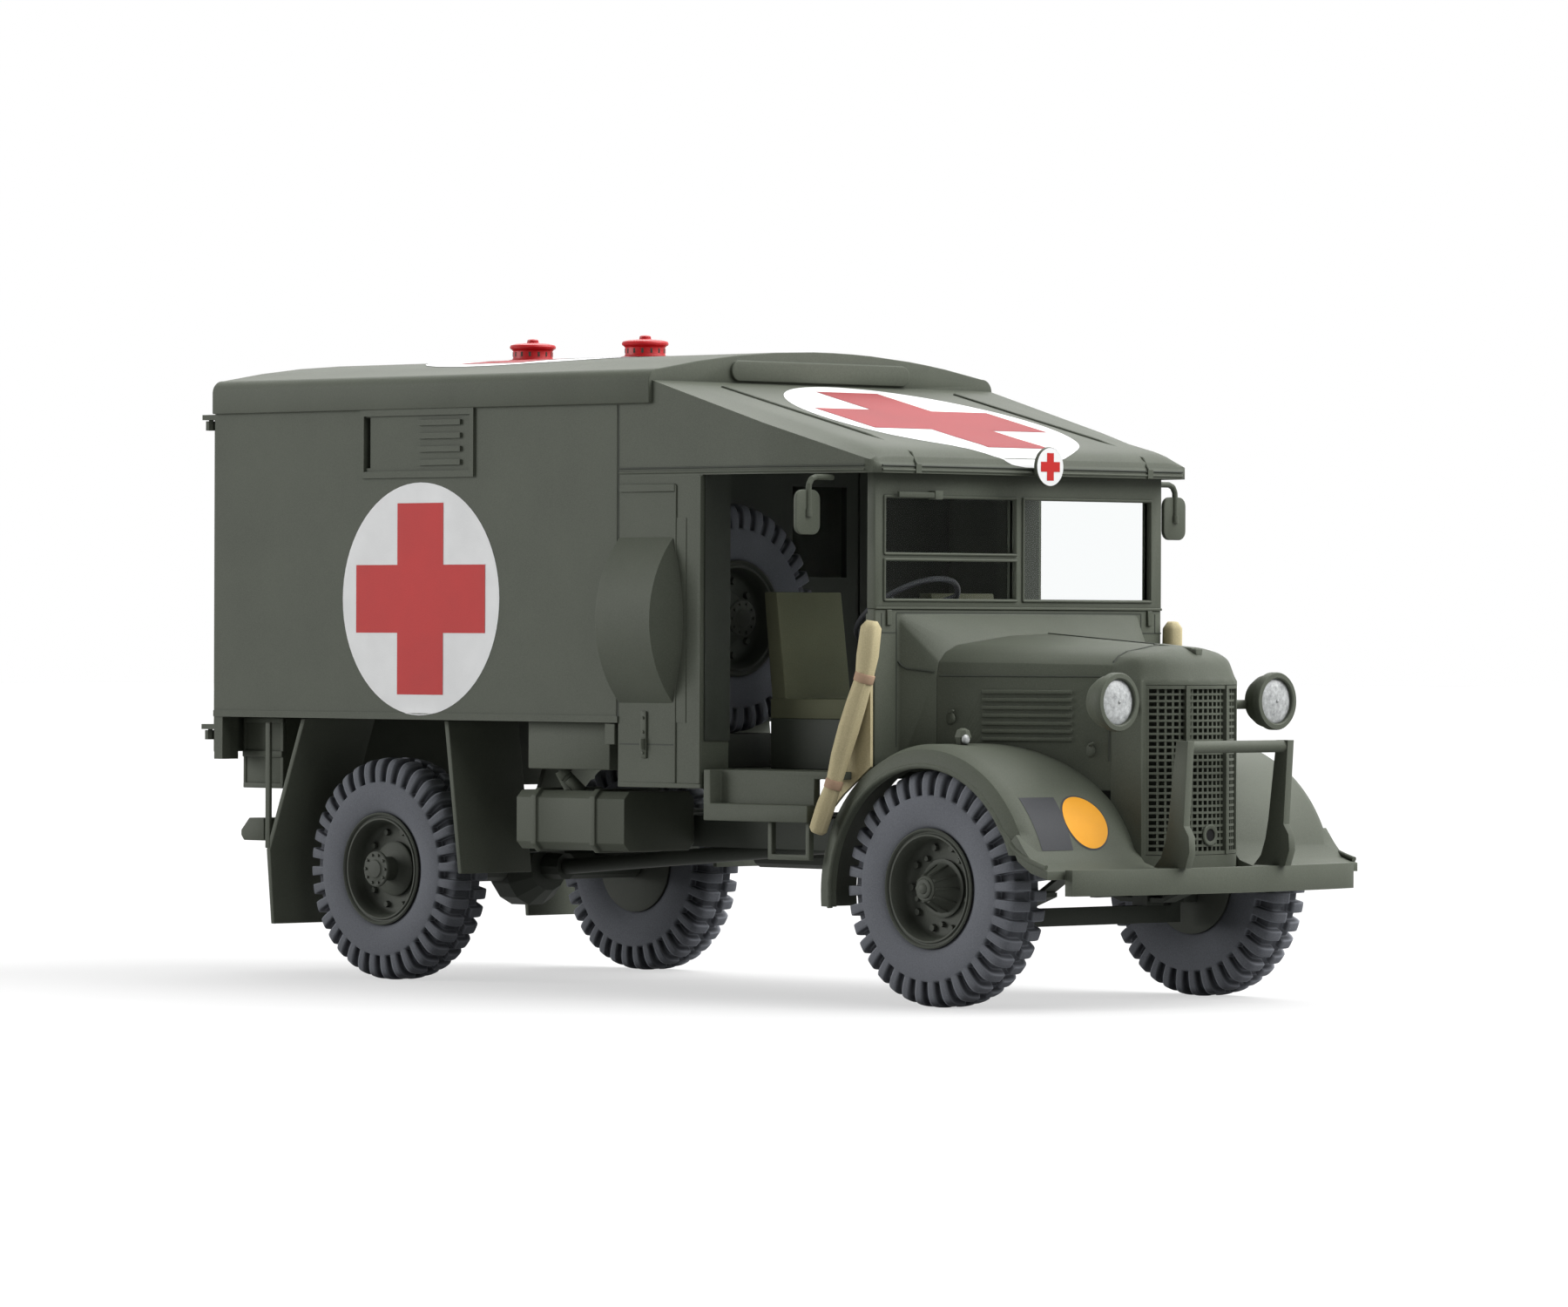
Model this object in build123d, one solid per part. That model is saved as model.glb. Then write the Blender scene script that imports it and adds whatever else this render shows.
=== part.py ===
from build123d import *
import math
import os

os.makedirs("parts", exist_ok=True)

# A 1:48 scale model of a four-wheeled military ambulance truck, in millimetres of the model.
# Stations run forward from the front axle and Y to the model's left. Heights run up from a datum that is
# axle_height below the wheel centres. At the end every piece moves so that the origin lies on the ground
# under the middle of the overall length.

# Wheels and axles
wheelbase = 73.1
tyre_radius = 10.55
axle_height = 10.2
tyre_width = 5.2
tyre_side_radius = 8.3
lug_depth = 0.95
lug_count = 36
rim_radius = 5.35
rim_wall = 0.45
rim_sides = 24
hub_sides = 16
front_wheel_y = 17.15
rear_wheel_y = 16.6
spindle_radius = 0.8
running_fit = 0.06
seat_gap = 0.1
beam_drop = 2.9
beam_height = 1.6
beam_depth = 1.5

# Chassis
rail_y = 8.6
rail_width = 1.2
rail_bottom = 12.9
rail_height = 2.9
chassis_front = 10.8

# Ambulance body
body_half = 22.25
wall = 1.0
body_rear = -wheelbase - 20.5
chassis_rear = body_rear + 0.4
pillar_bottom = 20.4
body_front = -37.0
body_floor = 24.5
floor_wall = 1.0
gutter_bottom = 53.7
gutter_height = 2.3
gutter_proud = 0.4
roof_front = -32.7
roof_crown = 58.9
roof_corner_radius = 1.3

# Rear door hinges
hinge_x = body_rear - 1.5
hinge_y = body_half - 0.8
hinge_heights = (22.7, 52.6)
knuckle_radius = 0.55
knuckle_height = 0.9
pin_radius = 0.24
door_gap = 0.1
door_thick = 0.9

# Cab
pillar_front = -26.05
pillar_width = 2.3
quarter_bottom = 18.65
cab_eave = 47.1
eave_lip = 1.0
cab_front = -5.6
cab_front_half = body_half - 1.35
cab_taper_start = -18.0
cab_corner_radius = 1.2
sill_bottom = 15.8
sill_top = 17.35
cab_floor_top = 20.4
cab_floor_front = -9.3
screen_x = -7.37
screen_half = body_half - 3.35
frame_thick = 1.0
screen_bottom = 35.0
screen_top = 47.4
scuttle_bottom = 20.9
cowl_half = screen_half - 3.1
cowl_top = 34.5

# Bonnet and nose
bonnet_rear = -4.1
bonnet_front = 10.44
bonnet_rear_half = cowl_half - 1.5
bonnet_front_half = 7.1
bonnet_hinge = 29.0
bonnet_ridge_rear = 32.8
bonnet_ridge_front = 31.8
bonnet_side_bottom = 18.9
sheet = 0.8
grille_half = 6.3
grille_edge_x = 13.4
grille_front = 15.9
grille_bottom = 13.2
grille_top = 28.3
grille_rib_y = 2.5
grille_bar = 0.3
grille_rows = 24

# Wings, bumper and guard
wing_outer = 20.5
wing_inner = 4.0
wing_sheet = 0.8
wing_centre_z = 9.6
wing_radius = 13.4
wing_lip_radius = 11.35
wing_shoulder = 1.6
wing_rear_bottom = 8.3
wing_flange_front = 15.4
bumper_half = 18.6
bumper_end_x = 16.6
bumper_mid_x = 18.9
bumper_bottom = 9.9
bumper_height = 2.3
guard_y = 6.6
guard_top = 23.4
guard_bar_radius = 0.55

# Lamps
lamp_y = 10.45
lamp_z = 26.8
lamp_front = 14.6
lamp_radius = 2.6
lens_radius = 2.2

# Spare wheel beside the driver's seat, turned across the cab
spare_x = -33.5
spare_y = -body_half + 9.55
spare_z = 34.1
bulge_radius = 10.9
bulge_proud = 3.05
bulge_rear = -36.9
bulge_front = -29.8
bulge_z = 33.9

nodes = {}


def block(x0, x1, y0, y1, z0, z1):
    return Pos((x0 + x1) / 2, (y0 + y1) / 2, (z0 + z1) / 2) * Box(x1 - x0, y1 - y0, z1 - z0)


def side_slab(sketch, y0, y1):
    return extrude(Plane.XZ.offset(-y1) * sketch, amount=y1 - y0)


def cross_slab(sketch, x0, x1):
    return extrude(Plane.YZ.offset(x0) * sketch, amount=x1 - x0)


def plan_slab(sketch, z0, z1):
    return extrude(Plane.XY.offset(z0) * sketch, amount=z1 - z0)


def outline(*points):
    return make_face(Polyline(*points, close=True))


def rod_y(x, z, radius, y0, y1):
    return Pos(x, (y0 + y1) / 2, z) * Rot(90, 0, 0) * Cylinder(radius, y1 - y0)


def rod_x(y, z, radius, x0, x1):
    return Pos((x0 + x1) / 2, y, z) * Rot(0, 90, 0) * Cylinder(radius, x1 - x0)


def rod_between(a, b, radius):
    run = Vector(*b) - Vector(*a)
    return extrude(Plane(origin=a, z_dir=run) * Circle(radius), amount=run.length)


def left_copy(shape):
    return mirror(shape, about=Plane.XZ)


def turned(points):
    # Revolve a (radius, outward) outline about the wheel axis, which points outward along -Y.
    face = make_face(Plane.XZ * Polyline(*points, close=True))
    return Rot(90, 0, 0) * revolve(face, Axis.Z)


def place_wheel(shape, x, y):
    # Wheels are modelled for the right side, with their outer face toward -Y.
    right = y < 0
    local = shape if right else Rot(0, 0, 180) * shape
    return Pos(x, y, axle_height) * local


def make_tyre():
    half = tyre_width / 2
    root = tyre_radius - lug_depth
    pitch = 2 * math.pi / lug_count
    points = []
    for i in range(lug_count):
        for share, radius in ((0.0, root), (0.26, tyre_radius), (0.70, tyre_radius), (0.96, root)):
            angle = (i + share) * pitch
            points.append((radius * math.cos(angle), radius * math.sin(angle)))
    tread = extrude(Plane.XZ * outline(*points), amount=half, both=True)
    tread = tread - Rot(90, 0, 0) * Cylinder(tyre_side_radius, tyre_width)
    walls = turned([
        (rim_radius - rim_wall, -half + 0.6),
        (tyre_side_radius, -half),
        (tyre_side_radius, half),
        (rim_radius - rim_wall, half - 0.6),
    ])
    return tread + walls


def flat_face(corners):
    return Face(Wire.make_polygon(corners, close=True))


def skin(rings):
    # A solid with flat faces between successive closed rings of the same number of corners.
    faces = [flat_face(rings[0]), flat_face(rings[-1])]
    for low, high in zip(rings, rings[1:]):
        for i in range(len(low)):
            j = (i + 1) % len(low)
            a, b, c, d = Vector(low[i]), Vector(low[j]), Vector(high[j]), Vector(high[i])
            twist = abs((b - a).cross(d - a).dot(c - a))
            if twist < 1e-6:
                faces.append(flat_face([a, b, c, d]))
            else:
                faces.append(flat_face([a, b, c]))
                faces.append(flat_face([a, c, d]))
    return Solid(Shell(faces))


def polygon_stack(points, sides):
    # A many-sided stack about Z from (radius, height) pairs.
    rings = []
    for radius, height in points:
        turns = [2 * math.pi * (i + 0.5) / sides for i in range(sides)]
        rings.append([(radius * math.cos(turn), radius * math.sin(turn), height) for turn in turns])
    return skin(rings)


def make_wheel(hub_face, hub_tip_radius, dish):
    # One moulded disc with its rim lip, a deep dish and a hub that rides on the spindle.
    seat = rim_radius - rim_wall
    lip = tyre_width / 2 - 0.15
    lip_low = lip - 0.35
    bore = spindle_radius + running_fit
    body = polygon_stack([(seat, -lip + 0.25), (seat, lip_low), (rim_radius, lip_low), (rim_radius - 0.1, lip)],
                         rim_sides)
    body -= polygon_stack([(seat - 0.45, dish), (seat - 0.3, lip)], rim_sides)
    body += polygon_stack([(2.5, dish - 0.1), (hub_tip_radius, hub_face)], hub_sides)
    reach = lip + hub_face - 0.9
    return Rot(90, 0, 0) * (body - Pos(0, 0, -lip + reach / 2) * Cylinder(bore, reach))


# Running gear
tyre = make_tyre()
front_disc = make_wheel(hub_face=3.1, hub_tip_radius=1.15, dish=0.35)
rear_disc = make_wheel(hub_face=3.2, hub_tip_radius=1.7, dish=0.25)
wheel_table = (
    # corner, station, centre Y, disc
    ("front_right", 0.0, -front_wheel_y, front_disc),
    ("front_left", 0.0, front_wheel_y, front_disc),
    ("rear_right", -wheelbase, -rear_wheel_y, rear_disc),
    ("rear_left", -wheelbase, rear_wheel_y, rear_disc),
)
for corner, station, wheel_y, disc in wheel_table:
    nodes["tyre_" + corner] = place_wheel(tyre, station, wheel_y)
    nodes["wheel_" + corner] = place_wheel(disc, station, wheel_y)

spare_place = Pos(spare_x, spare_y, spare_z) * Rot(0, 0, 90)
nodes["spare_tyre"] = spare_place * tyre
nodes["spare_wheel"] = spare_place * rear_disc

spindle_reach = 1.2
front_spindle_end = front_wheel_y + spindle_reach
rear_spindle_end = rear_wheel_y + spindle_reach
beam_half = front_wheel_y - 3.9
beam_top = axle_height - beam_drop + 0.8
axle_beam = block(-beam_depth / 2, beam_depth / 2, -beam_half + 2.6, beam_half - 2.6,
                  beam_top - beam_height, beam_top)
knuckle = block(-1.1, 1.1, -beam_half - 1.4, -beam_half + 0.4, axle_height - 1.9, axle_height + 1.7)
knuckle += side_slab(outline((-0.7, beam_top - beam_height), (0.7, beam_top - beam_height),
                             (0.7, beam_top), (-0.7, beam_top)), -beam_half + 0.4, -beam_half + 2.6)
knuckle += block(-0.7, 0.7, -beam_half + 0.4, -beam_half + 1.6, beam_top - beam_height, axle_height + 1.0)
knuckle += rod_y(0, axle_height, spindle_radius, -front_spindle_end, -beam_half)
nodes["front_axle"] = axle_beam + knuckle + left_copy(knuckle)

diff = polygon_stack([(2.4, -3.2), (3.9, -1.2), (3.9, 1.2), (2.4, 3.2)], 14)
diff = Pos(-wheelbase, 0, axle_height) * Rot(0, 90, 0) * diff
spring_pad_z = axle_height + 0.85
axle_tube = Pos(-wheelbase, 0, axle_height) * Rot(90, 0, 0) * polygon_stack(
    [(1.5, -rear_wheel_y + 2.6), (1.5, rear_wheel_y - 2.6)], 12)
for pad_side in (-1, 1):
    pad_y = pad_side * (rail_y + rail_width / 2)
    axle_tube -= block(-wheelbase - 2, -wheelbase + 2, pad_y - 1.3, pad_y + 1.3, spring_pad_z, axle_height + 2)
axle_ends = rod_y(-wheelbase, axle_height, spindle_radius, -rear_spindle_end, rear_spindle_end)
pinion_reach = 5.6
nose_piece = Pos(-wheelbase, 0, axle_height) * Rot(0, 90, 0) * polygon_stack([(1.3, 0), (1.3, pinion_reach)], 10)
nodes["rear_axle"] = diff + axle_tube + axle_ends + nose_piece

# Chassis: two channel rails joined by cross members
rail_top = rail_bottom + rail_height
rail_outer = rail_y + rail_width
rails = block(chassis_rear, chassis_front, -rail_outer, -rail_y, rail_bottom, rail_top)
rails += block(chassis_rear, chassis_front, rail_y, rail_outer, rail_bottom, rail_top)
for station in (body_rear + 2.6, -wheelbase + 11.1, -wheelbase * 0.684, -34.0, 8.8):
    rails += block(station, station + 1.6, -rail_y, rail_y, rail_top - 1.5, rail_top - 0.1)
nodes["chassis_frame"] = rails

# Leaf springs between the axles and the rails: bent leaves, a centre clamp and end hangers
leaf = 0.4
leaf_half_width = 0.9
leaf_shares = (1.0, 0.6)
eye_radius = 0.5


def leaf_spring(station, y, length, seat_z):
    eye_z = rail_bottom - eye_radius
    rise = eye_z - seat_z - leaf * len(leaf_shares)
    spring = block(station - 0.9, station + 0.9, y - leaf_half_width - 0.2, y + leaf_half_width + 0.2,
                   seat_z, seat_z + leaf * (len(leaf_shares) + 0.5))
    for i, share in enumerate(leaf_shares):
        half = share * length / 2
        mid_z = seat_z + leaf * (len(leaf_shares) - i)
        bend = [(t, mid_z + rise * (share * t) ** 2) for t in (-1.0, -0.5, 0.5, 1.0)]
        over = [(station + half * t, z) for t, z in bend]
        under = [(station + half * t, z - leaf) for t, z in reversed(bend)]
        spring += side_slab(outline(*over, *under), y - leaf_half_width, y + leaf_half_width)
    for end in (-1, 1):
        x = station + end * length / 2
        spring += block(x - eye_radius, x + eye_radius, y - leaf_half_width, y + leaf_half_width,
                        eye_z - eye_radius, eye_z + eye_radius)
    return spring


spring_y = rail_y + rail_width / 2
springs = None
for station, length, seat_z in ((0.0, 17.0, beam_top), (-wheelbase, 26.0, spring_pad_z)):
    for spring_side in (-1, 1):
        spring = leaf_spring(station, spring_side * spring_y, length, seat_z)
        springs = spring if springs is None else springs + spring
nodes["leaf_springs"] = springs

# Gearbox and sump under the cab, the shaft and the exhaust
gearbox_rear = -26.0
sump = block(-18.0, 8.0, -3.6, 3.6, 10.6, 15.9)
sump += block(gearbox_rear, -18.0, -2.6, 2.6, 11.6, 16.4)
nodes["engine_and_gearbox"] = sump
shaft_front = gearbox_rear - seat_gap
shaft_rear = -wheelbase + pinion_reach + seat_gap
nodes["propeller_shaft"] = rod_between((shaft_front, 0, 13.4), (shaft_rear, 0, axle_height), 0.75)
exhaust_y = 5.4
exhaust_z = 12.0
silencer_rear = -wheelbase * 0.63
exhaust = polygon_stack([(0.6, -30.4), (0.6, -10.0)], 8) + polygon_stack([(1.5, silencer_rear), (1.5, -30.0)], 12)
exhaust = Pos(0, exhaust_y, exhaust_z) * Rot(0, 90, 0) * exhaust
nodes["exhaust"] = exhaust

# Fuel tank on the right, with two straps and a filler neck
tank_front = -wheelbase * 0.527
tank_rear = -wheelbase * 0.726
tank_outer = body_half - 2.25
tank_inner = 11.0
neck_corners = [(0.7 * math.cos(i * math.pi / 4), 0.7 * math.sin(i * math.pi / 4)) for i in range(8)]
tank_bottom = 12.6
tank_top = 18.1
tank = block(tank_rear, tank_front, -tank_outer, -tank_inner, tank_bottom, tank_top)
tank = chamfer(tank.edges().filter_by(Axis.X), 0.7)
for strap_x in (tank_rear + 2.5, tank_front - 4.1):
    band = block(strap_x - 0.35, strap_x + 0.35, -tank_outer - 0.2, -tank_inner, tank_bottom - 0.2, tank_top + 0.2)
    tank += chamfer(band.edges().filter_by(Axis.X), 0.7)
neck_x = tank_rear + 5.0
neck_foot = [(neck_x + dx, -tank_outer + 2.6 + dy, tank_top - 0.4) for dx, dy in neck_corners]
neck_head = [(neck_x - 0.9 + dx, -tank_outer + 2.0 + dy, tank_top + 1.6) for dx, dy in neck_corners]
tank += skin([neck_foot, neck_head])
tank += block(tank_rear + 4.0, tank_front - 6.0, -tank_inner, -rail_outer, 14.0, 15.2)
nodes["fuel_tank"] = tank

# Body sides: one panel a side, with the rear pillar foot, the door hinge lugs and the louvred vent
def body_side():
    plate = block(body_rear, body_front, -body_half, -body_half + wall, body_floor, gutter_bottom)
    plate += block(body_rear, body_rear + 1.2, -body_half, -body_half + wall, pillar_bottom, body_floor)
    for knuckle_z in hinge_heights:
        lug_low = knuckle_z + knuckle_height / 2 + door_gap
        plate += block(hinge_x - 0.4, body_rear, -body_half, -hinge_y - door_gap, lug_low, lug_low + 0.5)
        plate += block(hinge_x - 0.4, hinge_x + 0.4, -hinge_y - 0.4, -hinge_y + 0.4, lug_low, lug_low + 0.5)
        pin = polygon_stack([(pin_radius, -knuckle_height), (pin_radius, 0.1)], 8)
        plate += Pos(hinge_x, -hinge_y, lug_low) * pin
    vent_rear = -wheelbase + 0.8
    vent_front = -wheelbase + 16.6
    vent_low = 47.25
    proud = 0.25
    frame = block(vent_rear, vent_front, -body_half - proud, -body_half, vent_low, gutter_bottom)
    frame -= block(vent_rear + 0.5, vent_front - 0.5, -body_half - proud, -body_half,
                   vent_low + 0.6, gutter_bottom - 0.6)
    plate += frame
    plate -= block(vent_rear + 0.5, vent_rear + 1.2, -body_half - 1, -body_half + 0.7, 48.2, 53.0)
    for row in range(4):
        z = 48.4 + row * 1.25
        plate += block(vent_front - 7.7, vent_front - 1.85, -body_half - proud, -body_half, z, z + 0.5)
    plate += block(body_rear, body_front, -body_half - 0.15, -body_half, body_floor, body_floor + 0.6)
    return plate


body_right = body_side()
nodes["body_side_right"] = body_right
nodes["body_side_left"] = left_copy(body_right)

# Load floor between the sides
inner_half = body_half - wall
bulkhead_rear = body_front - 0.9
nodes["load_floor"] = block(body_rear + wall, bulkhead_rear, -inner_half, inner_half, body_floor,
                            body_floor + floor_wall)

# Bulkhead behind the cab, with its connecting doorway
door_half = 5.2
bulkhead = block(bulkhead_rear, body_front, -inner_half, inner_half, body_floor, gutter_bottom)
bulkhead -= block(body_front - 2, body_front + 1, -door_half + 4, door_half + 4, body_floor + 2.2, 48.5)
connecting = block(bulkhead_rear, body_front - 0.2, -door_half + 4, door_half + 4,
                   body_floor + 2.2, 48.5)
connecting -= block(body_front - 2, body_front + 1, -door_half + 5.6, door_half + 2.4, 38.0, 46.5)
nodes["bulkhead"] = bulkhead + connecting

# Roof of the load space: a crowned shell with the gutter band along both sides
def roof_section(inset):
    half = body_half + gutter_proud - inset
    low = gutter_bottom
    edge = gutter_bottom + gutter_height + 0.9 - inset
    crown = roof_crown - inset
    radius = roof_corner_radius
    side_arc_right = ThreePointArc((-half, edge - radius), (-half + radius * 0.25, edge - radius * 0.3),
                                   (-half + radius, edge))
    top = ThreePointArc((-half + radius, edge), (0, crown), (half - radius, edge))
    side_arc_left = ThreePointArc((half - radius, edge), (half - radius * 0.25, edge - radius * 0.3),
                                  (half, edge - radius))
    rest = Polyline((half, edge - radius), (half, low), (-half, low), (-half, edge - radius))
    return make_face([side_arc_right, top, side_arc_left, rest])


roof = cross_slab(roof_section(0.0), body_rear, roof_front)
roof -= cross_slab(roof_section(wall + gutter_proud), body_rear + wall, roof_front - wall)
roof_flap = cross_slab(Pos(-0.6, 56.9) * SlotOverall(23.4, 1.9), roof_front, roof_front + 0.35)
nodes["main_roof"] = roof + roof_flap

# Roof ventilators on the centre line: base ring, waist, cap and nub
vent_height = 2.2
vent_outline = (
    # radius, height above the crown
    (2.4, -0.3), (2.4, 0.45), (1.95, 0.6), (1.95, 1.35), (2.22, 1.45), (2.22, 1.75), (0.6, 2.0),
    (0.35, vent_height),
)
vent_body = polygon_stack([(radius, roof_crown + height) for radius, height in vent_outline], 14)
ventilators = Pos(-wheelbase + 0.6, 0, 0) * vent_body + Pos(-wheelbase + 16.3, 0, 0) * vent_body
ventilators -= cross_slab(roof_section(0.0), body_rear, roof_front)
nodes["ventilators"] = ventilators

# Cab roof: sloping shell with side skirts and rounded front corners
slope_rear_z = 55.8
slope_front_z = cab_eave + eave_lip + 0.1


def cab_roof_body(inset):
    low = cab_eave - inset * 5
    half = body_half - inset
    front = cab_front - inset
    top = outline((body_front + inset, low), (body_front + inset, gutter_bottom - inset),
                  (roof_front, gutter_bottom - inset), (roof_front, slope_rear_z - inset),
                  (front - 0.4, slope_front_z - inset), (front, slope_front_z - 0.5 - inset), (front, low))
    side = side_slab(top, -half, half)
    taper = body_half - cab_front_half
    corner = cab_corner_radius
    shoulder = half - taper
    plan = outline((body_front, -half), (cab_taper_start, -half), (front - corner, -shoulder),
                   (front - corner * 0.3, -shoulder + corner * 0.3), (front, -shoulder + corner),
                   (front, shoulder - corner), (front - corner * 0.3, shoulder - corner * 0.3),
                   (front - corner, shoulder), (cab_taper_start, half), (body_front, half))
    return side & plan_slab(plan, low - 1, slope_rear_z + 1)


cab_roof = cab_roof_body(0.0) - cab_roof_body(0.9)
cab_roof -= block(body_front - 1, body_front + 0.9, -inner_half, inner_half, cab_eave - 1, gutter_bottom - 0.9)
nodes["cab_roof"] = cab_roof

# Cab quarters behind the door openings, with the round spare wheel bulge on the right
def cab_quarter(side):
    plate = block(body_front, pillar_front, -body_half, -body_half + wall, quarter_bottom, cab_eave)
    plate += block(pillar_front - pillar_width, pillar_front, -body_half + wall, -body_half + 3.4,
                   cab_floor_top, cab_eave)
    if side == "right":
        axis_y = -body_half - bulge_proud + bulge_radius
        reach = block(bulge_rear, bulge_front + 2, -body_half - 5, -body_half + wall, 10, 60)
        drum = rod_x(axis_y, bulge_z, bulge_radius, bulge_rear, bulge_front) & reach
        hollow = rod_x(axis_y, bulge_z, bulge_radius - sheet, bulge_rear + sheet, bulge_front + 1.4)
        face_front = bulge_front - 0.3
        face = rod_x(axis_y, bulge_z, bulge_radius - sheet / 2, face_front - sheet / 2, face_front)
        face &= block(bulge_rear, bulge_front, -body_half - 5, -body_half + 0.1, 10, 60)
        plate = plate + drum - hollow + face
    return plate


nodes["cab_quarter_right"] = cab_quarter("right")
nodes["cab_quarter_left"] = left_copy(cab_quarter("left"))

# Cab floor with the sill ledges, the end posts and the toe board
floor_half = inner_half - 0.4
sill_front = -12.5
post_rear = -25.8
post_front = -24.9
cab_floor = block(body_front, cab_floor_front, -floor_half, floor_half, cab_floor_top - 0.7, cab_floor_top)
cab_floor += block(cab_floor_front - 0.2, screen_x - frame_thick, -screen_half, screen_half, cab_floor_top,
                   cab_floor_top + 1.2)
for ledge_side in (-1, 1):
    y_out = ledge_side * body_half
    y_in = ledge_side * floor_half
    y_back = ledge_side * (floor_half - 0.8)
    cab_floor += block(post_rear, sill_front, min(y_out, y_in), max(y_out, y_in), sill_bottom, sill_top)
    cab_floor += block(post_rear, post_front, min(y_out, y_in), max(y_out, y_in), sill_bottom, cab_floor_top)
    cab_floor += block(post_rear, sill_front - 0.5, min(y_in, y_back), max(y_in, y_back), sill_bottom,
                       cab_floor_top)
nodes["cab_floor"] = cab_floor

# Stirrup steps below the sills
stirrups = None
for step_side in (-1, 1):
    y_mid = step_side * (body_half - 1.0)
    stirrup = block(-18.2, -12.9, y_mid - 0.3, y_mid + 0.3, 12.4, sill_bottom)
    stirrup -= block(-17.7, -13.4, y_mid - 1, y_mid + 1, 12.9, sill_bottom + 1)
    stirrups = stirrup if stirrups is None else stirrups + stirrup
rear_step_half = 16.2
rear_step_depth = 3.4
rear_step_back = chassis_rear - rear_step_depth
rear_step_view = outline((rear_step_back, 12.9), (rear_step_back + 0.4, 12.4), (chassis_rear, 12.4),
                         (chassis_rear, 14.6), (rear_step_back + 1.2, 14.6), (rear_step_back, 13.4))
stirrups += side_slab(rear_step_view, -rear_step_half, rear_step_half)
nodes["stirrup_steps"] = stirrups

# Seat boxes, the carrier under the spare wheel, and the cushions
seat_rear = -24.5
seat_front = -14.0
seat_half = 4.4
seat_box_top = 25.0
cushion_top = 26.8
carrier_gap = 0.05
seat_boxes = block(spare_x - 3, spare_x + 3.5, spare_y - 6, spare_y + 6, cab_floor_top,
                   spare_z - tyre_radius - carrier_gap)
seat_cushions = None
for seat_y in (-10.6, 9.6):
    seat_boxes += block(seat_rear, seat_front, seat_y - seat_half, seat_y + seat_half, cab_floor_top, seat_box_top)
    cushion = block(seat_rear, seat_front + 0.3, seat_y - seat_half, seat_y + seat_half, seat_box_top, cushion_top)
    back = side_slab(outline((seat_rear, cushion_top), (seat_rear + 1.8, cushion_top), (-24.0, 36.5),
                             (-25.6, 36.5)), seat_y - seat_half + 0.2, seat_y + seat_half - 0.2)
    seat = cushion + back
    seat_cushions = seat if seat_cushions is None else seat_cushions + seat
nodes["seat_boxes"] = seat_boxes
nodes["seats"] = seat_cushions

# Windscreen frame, its panes, and the wiper
mullion_y = -0.2
screen_frame = block(screen_x - frame_thick, screen_x, -screen_half, screen_half, screen_bottom, screen_top)
pane_table = (
    # lower y, upper y, lower z, upper z
    (-17.6, mullion_y - 0.6, 35.9, 39.3),
    (-17.6, mullion_y - 0.6, 40.0, 44.9),
    (mullion_y + 0.6, 17.3, 35.9, 44.9),
)
panes = None
for y0, y1, z0, z1 in pane_table:
    screen_frame -= block(screen_x - 2, screen_x + 1, y0, y1, z0, z1)
    pane = block(screen_x - 0.65, screen_x - 0.35, y0, y1, z0, z1)
    panes = pane if panes is None else panes + pane
nodes["windscreen_panes"] = panes
wiper = block(screen_x, screen_x + 0.9, -12.1, -11.1, 44.8, 45.6)
wiper += block(screen_x + 0.5, screen_x + 0.8, -16.6, -11.6, 44.95, 45.45)
nodes["windscreen_frame"] = screen_frame + wiper

# Half sections across the cowl, bonnet and nose: rounded shoulders below a low crown
def hood_section(x, half, shoulder, ridge, corner, drop, low):
    corner_share = ((0.0, 0.0), (0.06, 0.42), (0.26, 0.72), (0.58, 0.92), (1.0, 1.0))
    rise = ridge - drop - shoulder
    right = [(-half + corner * across, shoulder + rise * up) for across, up in corner_share]
    right += [((-half + corner) * 0.5, ridge - drop * 0.25), (0.0, ridge)]
    left = [(-y, z) for y, z in reversed(right[:-1])]
    return [(x, y, z) for y, z in [(-half, low), *right, *left, (half, low)]]


def hood_loft(rear, front):
    return skin([hood_section(*rear), hood_section(*front)])


def bonnet_sections(inset, low):
    rear = (bonnet_rear, bonnet_rear_half - inset, bonnet_hinge, bonnet_ridge_rear - inset, 4.4 - inset * 0.6, 0.8, low)
    front = (bonnet_front, bonnet_front_half - inset, bonnet_hinge, bonnet_ridge_front - inset, 3.9 - inset * 0.6,
             0.35, low)
    return rear, front


# Scuttle between windscreen and bonnet: a full width plate and the flared cowl
def cowl_body(low):
    rear = (screen_x, cowl_half, cowl_top - 0.7, cowl_top, 0.7, 0.02, low)
    front = (bonnet_rear, bonnet_rear_half, bonnet_hinge, bonnet_ridge_rear, 4.4, 0.8, low)
    return hood_loft(rear, front)


scuttle = block(screen_x - frame_thick, screen_x, -screen_half, screen_half, scuttle_bottom, screen_bottom)
scuttle += cowl_body(scuttle_bottom - 0.45)
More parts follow.
